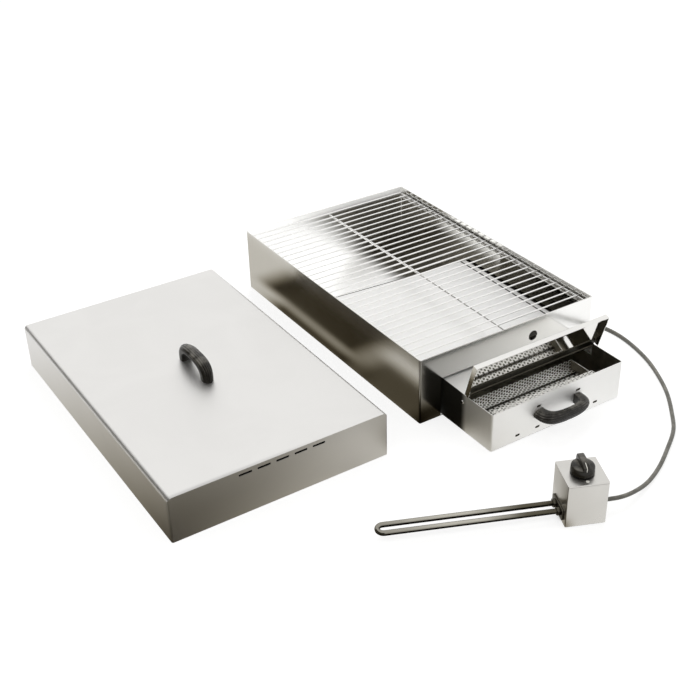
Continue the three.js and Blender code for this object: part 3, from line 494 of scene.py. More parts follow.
@dataclass(frozen=True)
class Palette:
    """Every finish on the smoker, from the body's sheet to the plug's pins."""

    # Painted shade darkens the left of the body's front wall, for the dark reflection there; the front wall's own
    # finish is a lighter copy of the body's sheet: painted light.
    body: SheetSteel = SheetSteel(
        "Body sheet", (0.86, 0.85, 0.82), 0.13, marks=0.03, tone=0.04,
        painted_patches=(PaintedPatch((-0.2, -0.2802, 0.06), (0.17, 0.004, 0.4), soft=0.95, depth=0.55),))
    front: SheetSteel = SheetSteel(
        "Body's front wall", (0.99, 0.985, 0.965), 0.14, marks=0.03, tone=0.03,
        painted_patches=(PaintedPatch((-0.2, -0.2802, 0.06), (0.17, 0.004, 0.4), soft=0.95, depth=0.6),))
    inside: SheetSteel = SheetSteel("Inside of body sheet", (0.95, 0.945, 0.92), 0.06, marks=0.03, tone=0.03,
                                    grain=0.03, relief=0.01)
    # The rear wall's inside and the body's floor are painted reflection: a dark base colour for the dark reflection,
    # and glowing white patches for the bright reflection on their left and along the wall's top.
    rear: SheetSteel = SheetSteel(
        "Rear wall's inside", (0.33, 0.31, 0.27), 0.5, Lay.CROSSWISE, marks=0.02, tone=0.02,
        painted_colour=(0.98, 0.98, 0.97), painted_glow=0.42,
        painted_patches=(PaintedPatch((-0.25, 0.279, -0.2), (0.372, ENDLESS, 0.372), soft=0.09),
                PaintedPatch((0.0, 0.279, 0.12), (ENDLESS, ENDLESS, 0.016), soft=0.25, depth=0.72)))
    ground: SheetSteel = SheetSteel(
        "Inside of body's floor", (0.2, 0.185, 0.15), 0.42, marks=0.02, tone=0.02, painted_colour=(0.98, 0.98, 0.97),
        painted_glow=0.36, painted_patches=(PaintedPatch((-0.18, 0.14, 0.0), (0.25, ENDLESS, ENDLESS)),))
    # Painted shade darkens the lid's front face towards its left.
    lid: SheetSteel = SheetSteel(
        "Lid sheet", (0.84, 0.83, 0.81), 0.42, grain=0.06, marks=0.02, tone=0.015,
        painted_patches=(PaintedPatch((-0.57, -0.3175, 0.06), (0.14, 0.006, 0.06), soft=0.8, depth=0.32),))
    # The rear part of the drawer's left side is painted near-black: a painted dark reflection.
    drawer: SheetSteel = SheetSteel(
        "Drawer sheet", (0.95, 0.945, 0.925), 0.56, Lay.CROSSWISE, grain=0.04, marks=0.02, tone=0.015,
        painted_patches=(PaintedPatch((-0.134, -0.2, 0.035), (0.0012, 0.134, 1.0), soft=0.06, depth=0.97),))
    # A darker copy of the sheet, for faces that get painted shade: the drawer's inside and the basket's right end.
    painted_shade_sheet: SheetSteel = SheetSteel("Painted_shade sheet", (0.32, 0.295, 0.235), 0.48, Lay.CROSSWISE, tone=0.3,
                                    marks_scale=22.0)
    # The drip plate carries painted shade behind the vent, along its back edge, in its fold and beyond its right end.
    drip: SheetSteel = SheetSteel(
        "Drip plate sheet", (0.97, 0.965, 0.95), 0.4, grain=0.06, marks=0.04, tone=0.03,
        painted_patches=(PaintedPatch((0.05, -0.2775, 0.08), (0.04, 0.03, 0.05), soft=0.35),
                PaintedPatch((-0.085, 0.0066, 0.085), (0.105, 0.0017, 0.1), soft=0.25, depth=0.85),
                PaintedPatch((0.1222, -0.14, 0.08), (0.0015, ENDLESS, ENDLESS), soft=0.3),
                PaintedPatch((0.1425, -0.14, 0.08), (0.0095, ENDLESS, ENDLESS), soft=0.05)))
    mirror: SheetSteel = SheetSteel("Polished sheet", (0.86, 0.85, 0.82), 0.05, Lay.CROSSWISE, grain=0.02,
                                    relief=0.01, marks=0.03, tone=0.02)
    # A near-black strip on the basket's floor behind its rim is a painted shadow.
    basket: SheetSteel = SheetSteel(
        "Perforated sheet", (0.97, 0.96, 0.93), 0.42, Lay.CROSSWISE, tone=0.06, marks_scale=30.0,
        painted_patches=(PaintedPatch((-0.0275, -0.3628, 0.048), (ENDLESS, 0.0026, 0.004), soft=0.3, depth=0.97),))
    hinge: SheetSteel = SheetSteel("Hinge strip", (0.07, 0.065, 0.05), 0.3, Lay.CROSSWISE)
    wire: SheetSteel = SheetSteel("Grid wire", (0.98, 0.975, 0.96), 0.3, Lay.CROSSWISE, grain=0.04, tone=0.03,
                                  marks_scale=24.0)
    control: SheetSteel = SheetSteel("Control box sheet", (0.7, 0.685, 0.65), 0.27, Lay.UPRIGHT, tone=0.05)
    sheath: HeatedSheath = HeatedSheath()
    # Its large share of the upward veil lightens the black moulding's upper faces: a painted highlight.
    black: Moulding = Moulding("Black moulding", (0.0075, 0.006, 0.0035), 0.16, worn=(0.03, 0.027, 0.02), pores=0.02,
                               dust_and_sheen=0.26, specular=0.32)
    cable: Moulding = Moulding("Cable jacket", (0.115, 0.112, 0.096), 0.36, worn=(0.16, 0.155, 0.14), dust_and_sheen=0.25,
                               specular=0.4)
    rubber: Moulding = Moulding("Black rubber", (0.022, 0.02, 0.018), 0.45, dust_and_sheen=0.1)
    strap: Moulding = Moulding("Strap", (0.03, 0.028, 0.025), 0.6, pores=0.2, dust_and_sheen=0.12)
    fitting: SheetSteel = SheetSteel("Dark fitting", (0.13, 0.12, 0.095), 0.3, Lay.EVEN, tone=0.2, marks_scale=60.0)
    brass: SheetSteel = SheetSteel("Bare brass", (0.72, 0.58, 0.32), 0.25, Lay.EVEN, tone=0.2, marks_scale=80.0)
    insulator: Moulding = Moulding("Thermostat body", (0.6, 0.55, 0.46), 0.6, pores=0.2)
    mark: Moulding = Moulding("White marking", (0.86, 0.85, 0.8), 0.5, worn=(0.7, 0.68, 0.62), dust_and_sheen=0.02)


class Finisher:
    """Hands out each finish's material, and dresses CAD nodes and new pieces with it."""

    def __init__(self) -> None:
        """Starts with no material built."""
        self.built: dict[str, bpy.types.Material] = {}

    def material(self, finish: SheetSteel | HeatedSheath | Moulding) -> bpy.types.Material:
        """Builds a finish's material the first time, and gives it back after."""
        if finish.name not in self.built:
            self.built[finish.name] = finish.material()
        return self.built[finish.name]

    def paint(self, piece: bpy.types.Object, finish: SheetSteel | HeatedSheath | Moulding) -> None:
        """Puts one finish on the whole of a piece."""
        piece.data.materials.clear()
        piece.data.materials.append(self.material(finish))
        for polygon in getattr(piece.data, "polygons", []):
            polygon.material_index = 0

    def dress(self, piece: bpy.types.Object, finish: SheetSteel | HeatedSheath | Moulding,
              edge: float = 0.4 * MM, segments: int = 2) -> None:
        """Dresses a CAD node: its finish, softened edges and smooth bends, with its vertices untouched.

        Args:
            piece: the node's object.
            finish: the finish it gets.
            edge: the radius its edges are softened to, or zero.
            segments: how many faces a softened edge has.
        """
        self.paint(piece, finish)
        mesh = piece.data
        if "custom_normal" in mesh.attributes:
            mesh.attributes.remove(mesh.attributes["custom_normal"])
        mesh.polygons.foreach_set("use_smooth", [True] * len(mesh.polygons))
        weld = piece.modifiers.new("Joined corners", "WELD")
        weld.merge_threshold = 0.002 * MM
        flat = piece.modifiers.new("Whole faces", "DECIMATE")
        flat.decimate_type = "DISSOLVE"
        flat.angle_limit = math.radians(0.5)
        if edge > 0.0:
            soft = piece.modifiers.new("Soft edges", "BEVEL")
            soft.width = edge
            soft.segments = segments
            soft.limit_method = "ANGLE"
            soft.angle_limit = FOLD_ANGLE
            soft.use_clamp_overlap = True
        even = piece.modifiers.new("Even shading", "WEIGHTED_NORMAL")
        even.weight = 100
        even.keep_sharp = False


# Mesh building


def make_mesh(name: str, corners: Sequence[Sequence[float]], faces: Sequence[Sequence[int]],
              smooth: bool = True) -> bpy.types.Object:
    """Makes a mesh object.

    Args:
        name: the piece's name.
        corners: its vertices, in metres.
        faces: the corner numbers of each face.
        smooth: whether the faces are shaded smooth.
    Returns:
        The object, linked to the scene.
    """
    mesh = bpy.data.meshes.new(name)
    mesh.from_pydata([tuple(c) for c in corners], [], [tuple(f) for f in faces])
    mesh.validate()
    mesh.polygons.foreach_set("use_smooth", [smooth] * len(mesh.polygons))
    made = bpy.data.objects.new(name, mesh)
    bpy.context.scene.collection.objects.link(made)
    return made


def shade_by_angle(piece: bpy.types.Object, degrees: float = 35.0) -> None:
    """Shades a mesh smooth, with a hard line wherever faces meet at more than the angle given."""
    piece.data.polygons.foreach_set("use_smooth", [True] * len(piece.data.polygons))
    piece.data.set_sharp_from_angle(angle=math.radians(degrees))


def loft(name: str, rings: Sequence[Sequence[Vector]], capped: bool = True) -> bpy.types.Object:
    """Joins rings of equal length into a tube.

    Args:
        name: the piece's name.
        rings: the rings in order, each a closed loop of points.
        capped: whether the two ends are closed.
    Returns:
        The object.
    """
    count = len(rings[0])
    corners = [p for ring in rings for p in ring]
    faces = []
    for r in range(len(rings) - 1):
        for i in range(count):
            j = (i + 1) % count
            faces.append((r * count + i, r * count + j, (r + 1) * count + j, (r + 1) * count + i))
    if capped:
        faces.append(tuple(reversed(range(count))))
        last = (len(rings) - 1) * count
        faces.append(tuple(last + i for i in range(count)))
    return make_mesh(name, corners, faces)


def turned(name: str, profile: Sequence[tuple[float, float]], sides: int, place: Matrix,
           flute: tuple[int, float] | None = None) -> bpy.types.Object:
    """Turns a profile of radius and height about Z.

    Args:
        name: the piece's name.
        profile: radius and height of each step, in metres.
        sides: how many sides the turning has.
        place: where the turning goes.
        flute: a number of flutes and their depth, or nothing.
    Returns:
        The object.
    """
    rings = []
    for radius, height in profile:
        ring = []
        for i in range(sides):
            angle = 2 * math.pi * i / sides
            cut = 0.0
            if flute:
                cut = flute[1] * (0.5 + 0.5 * math.cos(flute[0] * angle))
            reach = max(radius - cut, 1e-5)
            ring.append(place @ Vector((reach * math.cos(angle), reach * math.sin(angle), height)))
        rings.append(ring)
    made = loft(name, rings)
    shade_by_angle(made)
    return made


def tube(name: str, points: Sequence[Vector], radius: float, sides: int = 6) -> bpy.types.Object:
    """Makes a round tube as one open curve.

    Args:
        name: the piece's name.
        points: the centre line.
        radius: the tube's radius.
        sides: half the resolution of its section.
    Returns:
        The curve object.
    """
    curve = bpy.data.curves.new(name, "CURVE")
    curve.dimensions = "3D"
    curve.bevel_depth = radius
    curve.bevel_resolution = sides
    curve.use_fill_caps = True
    line = curve.splines.new("POLY")
    line.points.add(len(points) - 1)
    for knot, point in zip(line.points, points):
        knot.co = (*point, 1.0)
    line.use_smooth = True
    made = bpy.data.objects.new(name, curve)
    bpy.context.scene.collection.objects.link(made)
    return made


def join_meshes(pieces: Sequence[bpy.types.Object], name: str) -> bpy.types.Object:
    """Joins mesh objects into the first of them, and names it."""
    bpy.ops.object.select_all(action="DESELECT")
    for piece in pieces:
        piece.select_set(True)
    bpy.context.view_layer.objects.active = pieces[0]
    bpy.ops.object.join()
    pieces[0].name = name
    pieces[0].data.name = name
    return pieces[0]


@dataclass
class PerforatedSheet:
    """A flat sheet with round holes in staggered rows.

    Attributes:
        corner: the sheet's corner, in metres.
        along: the way its rows run, as a unit vector.
        across: the way its rows follow each other.
        length: its size along the rows.
        width: its size across them.
        pitch: the distance between holes of a row.
        hole: the holes' diameter.
        thickness: the sheet's thickness, to the side of along x across.
        cut: whether its edges cut through holes.
    """

    corner: Vector
    along: Vector
    across: Vector
    length: float
    width: float
    pitch: float = 6.12 * MM
    hole: float = 4.4 * MM
    thickness: float = 0.5 * MM
    cut: bool = True

    def build(self, name: str) -> bpy.types.Object:
        """Builds the sheet.

        Args:
            name: the piece's name.
        Returns:
            The object, with its thickness as a modifier.
        """
        columns = max(1, round(self.length / self.pitch))
        rows = max(1, round(self.width / (self.pitch * math.sqrt(0.75))))
        step_u = self.length / columns
        step_v = self.width / rows
        corners: list[Vector] = []
        known: dict[tuple[int, int], int] = {}

        def at(u: float, v: float) -> int:
            key = (round(u * 1e7), round(v * 1e7))
            if key not in known:
                known[key] = len(corners)
                corners.append(self.corner + self.along * u + self.across * v)
            return known[key]

        faces = []
        for row in range(rows):
            v0 = row * step_v
            shift = 0.5 * step_u if row % 2 else 0.0
            count = columns - 1 if row % 2 else columns
            for column in range(count):
                faces += self._cell(at, column * step_u + shift, v0, step_u, step_v)
            if row % 2:
                for edge, side in ((0.0, 1), (self.length, -1)):
                    faces += self._half_cell(at, edge, side, v0, step_u, step_v)
        made = make_mesh(name, corners, faces, smooth=False)
        thick = made.modifiers.new("Sheet", "SOLIDIFY")
        thick.thickness = self.thickness
        thick.offset = 1.0
        return made

    def _cell(self, at: Callable[[float, float], int], u: float, v: float, step_u: float,
              step_v: float) -> list[tuple[int, ...]]:
        """The eight faces round one hole.

        Args:
            at: gives the number of the corner at a place on the sheet.
            u: the cell's start along the row.
            v: the cell's start across the rows.
            step_u: the cell's size along the row.
            step_v: the cell's size across the rows.
        Returns:
            The faces, as corner numbers.
        """
        radius = self.hole / 2
        middle = (u + step_u / 2, v + step_v / 2)
        ring, hole = [], []
        for i, (a, b) in enumerate([(0, 0), (1, 0), (2, 0), (2, 1), (2, 2), (1, 2), (0, 2), (0, 1)]):
            ring.append(at(u + a * step_u / 2, v + b * step_v / 2))
            angle = math.radians(225 + 45 * i)
            hole.append(at(middle[0] + radius * math.cos(angle), middle[1] + radius * math.sin(angle)))
        return [(ring[i], ring[(i + 1) % 8], hole[(i + 1) % 8], hole[i]) for i in range(8)]

    def _half_cell(self, at: Callable[[float, float], int], u: float, side: int, v: float, step_u: float,
                   step_v: float) -> list[tuple[int, ...]]:
        """The four faces round half a hole, which the sheet's edge cuts.

        Args:
            at: gives the number of the corner at a place on the sheet.
            u: the edge's place along the row.
            side: 1 where the sheet lies beyond the edge, and -1 where it lies before it.
            v: the cell's start across the rows.
            step_u: the cell's size along the row.
            step_v: the cell's size across the rows.
        Returns:
            The faces, as corner numbers.
        """
        radius = self.hole / 2 if self.cut else self.hole / 40
        ring = [at(u + side * a * step_u / 2, v + b * step_v / 2) for a, b in [(0, 0), (1, 0), (1, 1), (1, 2), (0, 2)]]
        hole = []
        for i in range(5):
            angle = math.radians(45 * i - 90)
            hole.append(at(u + side * radius * math.cos(angle), v + step_v / 2 + radius * math.sin(angle)))
        faces = [(ring[i], ring[i + 1], hole[i + 1], hole[i]) for i in range(4)]
        return faces if side > 0 else [tuple(reversed(face)) for face in faces]


# Curves shared by the cord and its coil


def smooth_route(points: Sequence[Vector], steps: int) -> list[Vector]:
    """Follows points on a centripetal Catmull-Rom curve.

    Args:
        points: the points that the curve passes through.
        steps: how many pieces each stretch between two points gets.
    Returns:
        Points along the curve, its two ends among them.
    """
    line: list[Vector] = []
    padded = [2 * points[0] - points[1], *points, 2 * points[-1] - points[-2]]
    for p0, p1, p2, p3 in zip(padded, padded[1:], padded[2:], padded[3:]):
        t0 = max((p1 - p0).length ** 0.5, 1e-4)
        t1 = max((p2 - p1).length ** 0.5, 1e-4)
        t2 = max((p3 - p2).length ** 0.5, 1e-4)
        m1 = ((p1 - p0) / t0 - (p2 - p0) / (t0 + t1) + (p2 - p1) / t1) * t1
        m2 = ((p2 - p1) / t1 - (p3 - p1) / (t1 + t2) + (p3 - p2) / t2) * t1
        for i in range(steps):
            s = i / steps
            line.append(p1 * (2 * s**3 - 3 * s**2 + 1) + m1 * (s**3 - 2 * s**2 + s)
                        + p2 * (-2 * s**3 + 3 * s**2) + m2 * (s**3 - s**2))
    line.append(points[-1].copy())
    return line


def smoothstep(value: float, low: float, high: float) -> float:
    """The smooth share of the way from low to high that a value has gone."""
    share = min(max((value - low) / (high - low), 0.0), 1.0)
    return share * share * (3 - 2 * share)


# Sub-assemblies


@dataclass
class Heater:
    """The control box with its lid, knob, element and bush.

    Attributes:
        place: where the box stands.
        turn: how far it is turned about Z.
        side: the box's side.
        height: the box's height over the table.
        element_radius: the sheath's radius.
        spacing: the distance between the element's legs.
        reach: how far the element stands out of the box.
        element_height: the height of its centre line.
        element_inside: how far its legs reach into the box.
        knob_radius: the knob's radius.
        knob_lift: the gap under the knob.
        knob_skirt: the height of the knob's skirt.
        grip_height: how far the grip stands out of the skirt.
        grip_width: the grip's width.
        grip_slope: how far its crest falls to the pointer.
        paint: how thick the markings are.
    """

    place: Place = (-120 * MM, -585 * MM, 0.0)
    turn: float = -0.408
    side: float = 60 * MM
    height: float = 72.8 * MM
    element_radius: float = 4.0 * MM
    spacing: float = 18 * MM
    reach: float = 267 * MM
    element_height: float = 15 * MM
    element_inside: float = 10 * MM
    knob_radius: float = 17.5 * MM
    knob_lift: float = 1.5 * MM
    knob_skirt: float = 12 * MM
    grip_height: float = 9.5 * MM
    grip_width: float = 10 * MM
    grip_slope: float = 4.5 * MM
    paint: float = 0.12 * MM

    def frame(self) -> Matrix:
        """Where the box's own frame stands in the model's frame."""
        return Matrix.Translation(self.place) @ Matrix.Rotation(self.turn, 4, "Z")

    def element(self) -> bpy.types.Object:
        """Builds the sheathed element as one smooth tube."""
        radius = self.spacing / 2
        start = -self.side / 2 + self.element_inside
        bend = -self.side / 2 - self.reach + radius + self.element_radius
        line = [Vector((start + (bend - start) * i / 12, radius, self.element_height)) for i in range(12)]
        for i in range(33):
            angle = math.pi * i / 32
            line.append(Vector((bend - radius * math.sin(angle), radius * math.cos(angle), self.element_height)))
        line += [Vector((bend + (start - bend) * i / 12, -radius, self.element_height)) for i in range(1, 13)]
        return tube("element_sheath", [self.frame() @ p for p in line], self.element_radius, 5)

    def knob(self) -> bpy.types.Object:
        """Builds the knob: a smooth skirt with a tall bar grip that slopes to its pointer."""
        base = self.height + self.knob_lift
        top = base + self.knob_skirt
        r = self.knob_radius
        skirt = turned("knob_skirt", [
            (r - 1.4 * MM, base), (r, base + 0.3 * MM), (r, base + 1.2 * MM), (r - 0.5 * MM, top - 2.2 * MM),
            (r - 1.2 * MM, top - 0.9 * MM), (r - 2.6 * MM, top - 0.2 * MM), (r - 5 * MM, top), (0.2 * MM, top),
        ], 72, self.frame())
        reach = r - 0.6 * MM
        outline = [
            (-reach, top - 2 * MM), (reach, top - 2 * MM), (reach - 0.7 * MM, top + 0.5 * self.grip_height),
            (reach - 2.4 * MM, top + self.grip_height - 0.8 * MM), (reach - 4.5 * MM, top + self.grip_height),
            (0.0, top + self.grip_height), (-0.45 * reach, top + self.grip_height - 0.35 * self.grip_slope),
            (-reach + 1.5 * MM, top + self.grip_height - self.grip_slope),
            (-reach, top + self.grip_height - self.grip_slope - 1.5 * MM),
        ]
        half = self.grip_width / 2
        grip = loft("knob_grip", [
            [self.frame() @ Vector((x, y, z)) for y, z in outline] for x in (-half, half)])
        soft = grip.modifiers.new("Soft edges", "BEVEL")
        soft.width = 1.1 * MM
        soft.segments = 3
        soft.limit_method = "ANGLE"
        soft.angle_limit = math.radians(40)
        bpy.context.view_layer.objects.active = grip
        bpy.ops.object.modifier_apply(modifier=soft.name)
        made = join_meshes([skirt, grip], "knob_moulding")
        shade_by_angle(made, 38)
        return made

    def pointer(self) -> bpy.types.Object:
        """Builds the white line down the grip's low end and over the skirt."""
        top = self.height + self.knob_lift + self.knob_skirt
        reach = self.knob_radius - 0.6 * MM
        crest = top + self.grip_height - self.grip_slope
        half = 0.55 * MM
        line = [(-0.45 * reach, top + self.grip_height - 0.35 * self.grip_slope + self.paint),
                (-reach + 1.3 * MM, crest + self.paint), (-reach - self.paint, crest - 1.6 * MM),
                (-reach - self.paint, top - 1.6 * MM)]
        corners, faces = [], []
        for y, z in line:
            corners += [self.frame() @ Vector((-half, y, z)), self.frame() @ Vector((half, y, z))]
        for i in range(len(line) - 1):
            faces.append((2 * i, 2 * i + 2, 2 * i + 3, 2 * i + 1))
        made = make_mesh("knob_pointer", corners, faces, smooth=False)
        thick = made.modifiers.new("Paint", "SOLIDIFY")
        thick.thickness = 0.1 * MM
        return made

    def index_mark(self) -> bpy.types.Object:
        """Builds the bright round mark on the box's lid that the pointer is set against."""
        place = self.frame() @ Matrix.Translation((0.0, -22.8 * MM, self.height))
        return turned("index_mark", [(2.6 * MM, 0.0), (2.6 * MM, self.paint), (0.1 * MM, 0.16 * MM)], 28, place)

    def build(self, frame: dict, finisher: Finisher, palette: Palette) -> None:
        """Builds and dresses the heater.

        Args:
            finisher: hands out the materials.
            palette: the smoker's finishes.
        """
        nodes = frame["nodes"]
        for node, finish, edge in [
            ("control_box", palette.control, 0.35), ("control_lid", palette.control, 0.35),
            ("thermostat", palette.insulator, 0.4), ("element_flange", palette.fitting, 0.3),
            ("element_nut_1", palette.fitting, 0.3), ("element_nut_2", palette.fitting, 0.3),
            ("cord_bush", palette.rubber, 0.4), ("knob_shaft", palette.brass, 0.2),
        ]:
            finisher.dress(nodes[node], finish, edge * MM)
        stand_for(self.element(), "element_tube", "heater", finisher, palette.sheath)
        stand_for(self.knob(), "knob", "knob", finisher, palette.black)
        add_to(self.pointer(), "knob", finisher, palette.mark)
        add_to(self.index_mark(), "heater", finisher, palette.mark)
        LOG.info("heater: box, element, knob and marks")


def stand_for(piece: bpy.types.Object, node: str, body: str, finisher: Finisher,
              finish: SheetSteel | HeatedSheath | Moulding) -> bpy.types.Object:
    """Lets a finer piece stand for a CAD node.

    Args:
        piece: the finer piece.
        node: the CAD node that it stands for.
        body: the body it moves with.
        finisher: hands out the materials.
        finish: the piece's finish.
    Returns:
        The piece.
    """
    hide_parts(node)
    return add_to(piece, body, finisher, finish)


def add_to(piece: bpy.types.Object, body: str, finisher: Finisher,
           finish: SheetSteel | HeatedSheath | Moulding) -> bpy.types.Object:
    """Finishes a piece and lets it move with a body.

    Args:
        piece: the piece.
        body: the body it moves with.
        finisher: hands out the materials.
        finish: the piece's finish.
    Returns:
        The piece.
    """
    finisher.paint(piece, finish)
    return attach(piece, body)


@dataclass
class Cord:
    """The heater's cord: its free stretch, its tied coil and its plug.

    Attributes:
        radius: the jacket's radius.
        exit_height: the height at which it leaves the control box.
        route: the points of its free stretch.
        coil_place: the coil's centre.
        coil_radius: the middle of its turns.
        pitch: the distance between turns and between layers.
        turns: how many turns it has.
        low: the height of its lower layer.
        tail: the stretch from the coil to the plug.
        plug_height: the height of the plug's axis.
        neck_length: the length of the plug's ribbed neck.
        plug_length: the length of the plug itself.
        plug_radius: the radius of the plug's face.
        bush_reach: how far its bush stands out of the control box.
        exit_reach: how far from the box its own end lies.
        stated_length: its length as a cord; not used.
        turn_steps: into how many pieces a turn is divided.
        tail_steps: into how many pieces the tail is divided.
    """

    radius: float = 3.3 * MM
    exit_height: float = 17 * MM
    route: tuple[Place, ...] = (
        (-0.062, -0.6077, 0.016), (-0.036, -0.6064, 0.0115), (0.004, -0.597, 0.0052), (0.0465, -0.5792, 0.0035),
        (0.09, -0.554, 0.0035), (0.1367, -0.5225, 0.0035), (0.168, -0.489, 0.0035), (0.2035, -0.444, 0.0035),
        (0.2287, -0.401, 0.0035), (0.2505, -0.3526, 0.0035), (0.265, -0.297, 0.0035), (0.2685, -0.257, 0.0035),
        (0.263, -0.224, 0.0035), (0.248, -0.194, 0.0035), (0.226, -0.158, 0.0035), (0.21, -0.118, 0.0037),
    )
    coil_place: tuple[float, float] = (0.25, -0.02)
    coil_radius: float = 37.5 * MM
    pitch: float = 7.3 * MM
    turns: int = 4
    low: float = 4.7 * MM
    tail: float = 62 * MM
    plug_height: float = 18.1 * MM
    neck_length: float = 14 * MM
    plug_length: float = 46 * MM
    plug_radius: float = 18 * MM
    bush_reach: float = 3.3 * MM
    exit_reach: float = 3.6 * MM
    stated_length: float = 1.8
    turn_steps: int = 40
    tail_steps: int = 12

    def exit(self, heater: Heater) -> Vector:
        """Where the cord leaves its bush."""
        return heater.frame() @ Vector((heater.side / 2 + self.exit_reach, 0.0, self.exit_height))

    def line(self, heater: Heater) -> list[Vector]:
        """The whole centre line, from the bush to the plug.

        Args:
            heater: the heater that the cord leaves.
        Returns:
            Points close enough together for the tightest turn.
        """
        outer = self.coil_radius + self.pitch
        x, y = self.coil_place
        end = y - 2 * self.radius - 0.3 * MM
        straight = 3 * self.radius
        start = heater.frame() @ Vector((heater.side / 2 + self.bush_reach + straight, 0.0, self.exit_height))
        points = [self.exit(heater), start, *(Vector(p) for p in self.route)]
        points += [Vector((x - outer, end - 2 * straight, self.low)), Vector((x - outer, end - straight, self.low)),
                   Vector((x - outer, end, self.low))]
        return smooth_route(points, 6) + self.coil()

    def coil(self) -> list[Vector]:
        """The coil's centre line: in on the lower layer, out on the upper and off to the plug."""
        outer = self.coil_radius + self.pitch
        x, y = self.coil_place
        half = self.turns / 2
        steps = self.turn_steps * self.turns
        line = []
        for i in range(steps + 1):
            turn = i / self.turn_steps
            radius = outer - self.pitch * (half - abs(turn - half))
            height = self.low + self.pitch * smoothstep(turn, half - 0.25, half + 0.25)
            angle = math.pi - 2 * math.pi * turn
            line.append(Vector((x + radius * math.cos(angle), y + radius * math.sin(angle), height)))
        top = self.low + self.pitch
        for i in range(1, self.tail_steps + 1):
            away = self.tail * i / self.tail_steps
            lift = smoothstep(away, 0.0, self.tail - 2 * self.radius) * (self.plug_height - top)
            line.append(Vector((x - outer, y + away, top + lift)))
        return line

    def plug(self) -> bpy.types.Object:
        """Builds the moulded plug: ribbed neck, waisted grip and round face."""
        x = self.coil_place[0] - self.coil_radius - self.pitch
        place = Matrix.Translation((x, self.coil_place[1] + self.tail + 0.3 * MM, self.plug_height))
        place = place @ Matrix.Rotation(-math.pi / 2, 4, "X")
        profile = [(4.0 * MM, 0.0), (4.9 * MM, 0.2 * MM)]
        for i in range(5):
            ring = 1.6 * MM + i * 2.5 * MM
            profile += [(4.9 * MM, ring), (3.9 * MM, ring + 0.4 * MM), (3.9 * MM, ring + 1.0 * MM),
                        (5.0 * MM, ring + 1.4 * MM)]
        neck, face = self.neck_length, self.neck_length + self.plug_length
        profile += [(5.3 * MM, neck), (11.0 * MM, neck + 2.0 * MM), (13.6 * MM, neck + 4.6 * MM),
                    (13.0 * MM, neck + 0.25 * self.plug_length), (12.1 * MM, neck + 0.42 * self.plug_length),
                    (13.4 * MM, neck + 0.54 * self.plug_length), (17.2 * MM, neck + 0.68 * self.plug_length),
                    (self.plug_radius, neck + 0.74 * self.plug_length), (self.plug_radius, face - 1.4 * MM),
                    (self.plug_radius - 0.5 * MM, face - 0.4 * MM), (self.plug_radius - 1.5 * MM, face),
                    (0.1 * MM, face)]
        return turned("plug_moulding", profile, 48, place)

    def build(self, frame: dict, finisher: Finisher, palette: Palette, heater: Heater) -> None:
        """Args:
            finisher: hands out the materials.
            palette: the smoker's finishes.
            heater: the heater that it leaves.
        """
        line = self.line(heater)
        length = sum((b - a).length for a, b in zip(line, line[1:]))
        cable = tube("cord_jacket", line, self.radius, 5)
        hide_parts("cord_lead", "cord_coil")
        add_to(cable, "heater", finisher, palette.cable)
        plug = stand_for(self.plug(), "plug_body", "heater", finisher, palette.rubber)
        nodes = frame["nodes"]
        finisher.dress(nodes["coil_tie"], palette.strap, 0.25 * MM)
        finisher.dress(nodes["plug_pin_1"], palette.brass, 0.5 * MM)
        finisher.dress(nodes["plug_pin_2"], palette.brass, 0.5 * MM)
        self.exit(heater)
        LOG.info("cord: %.3f m from the bush to the plug", length)


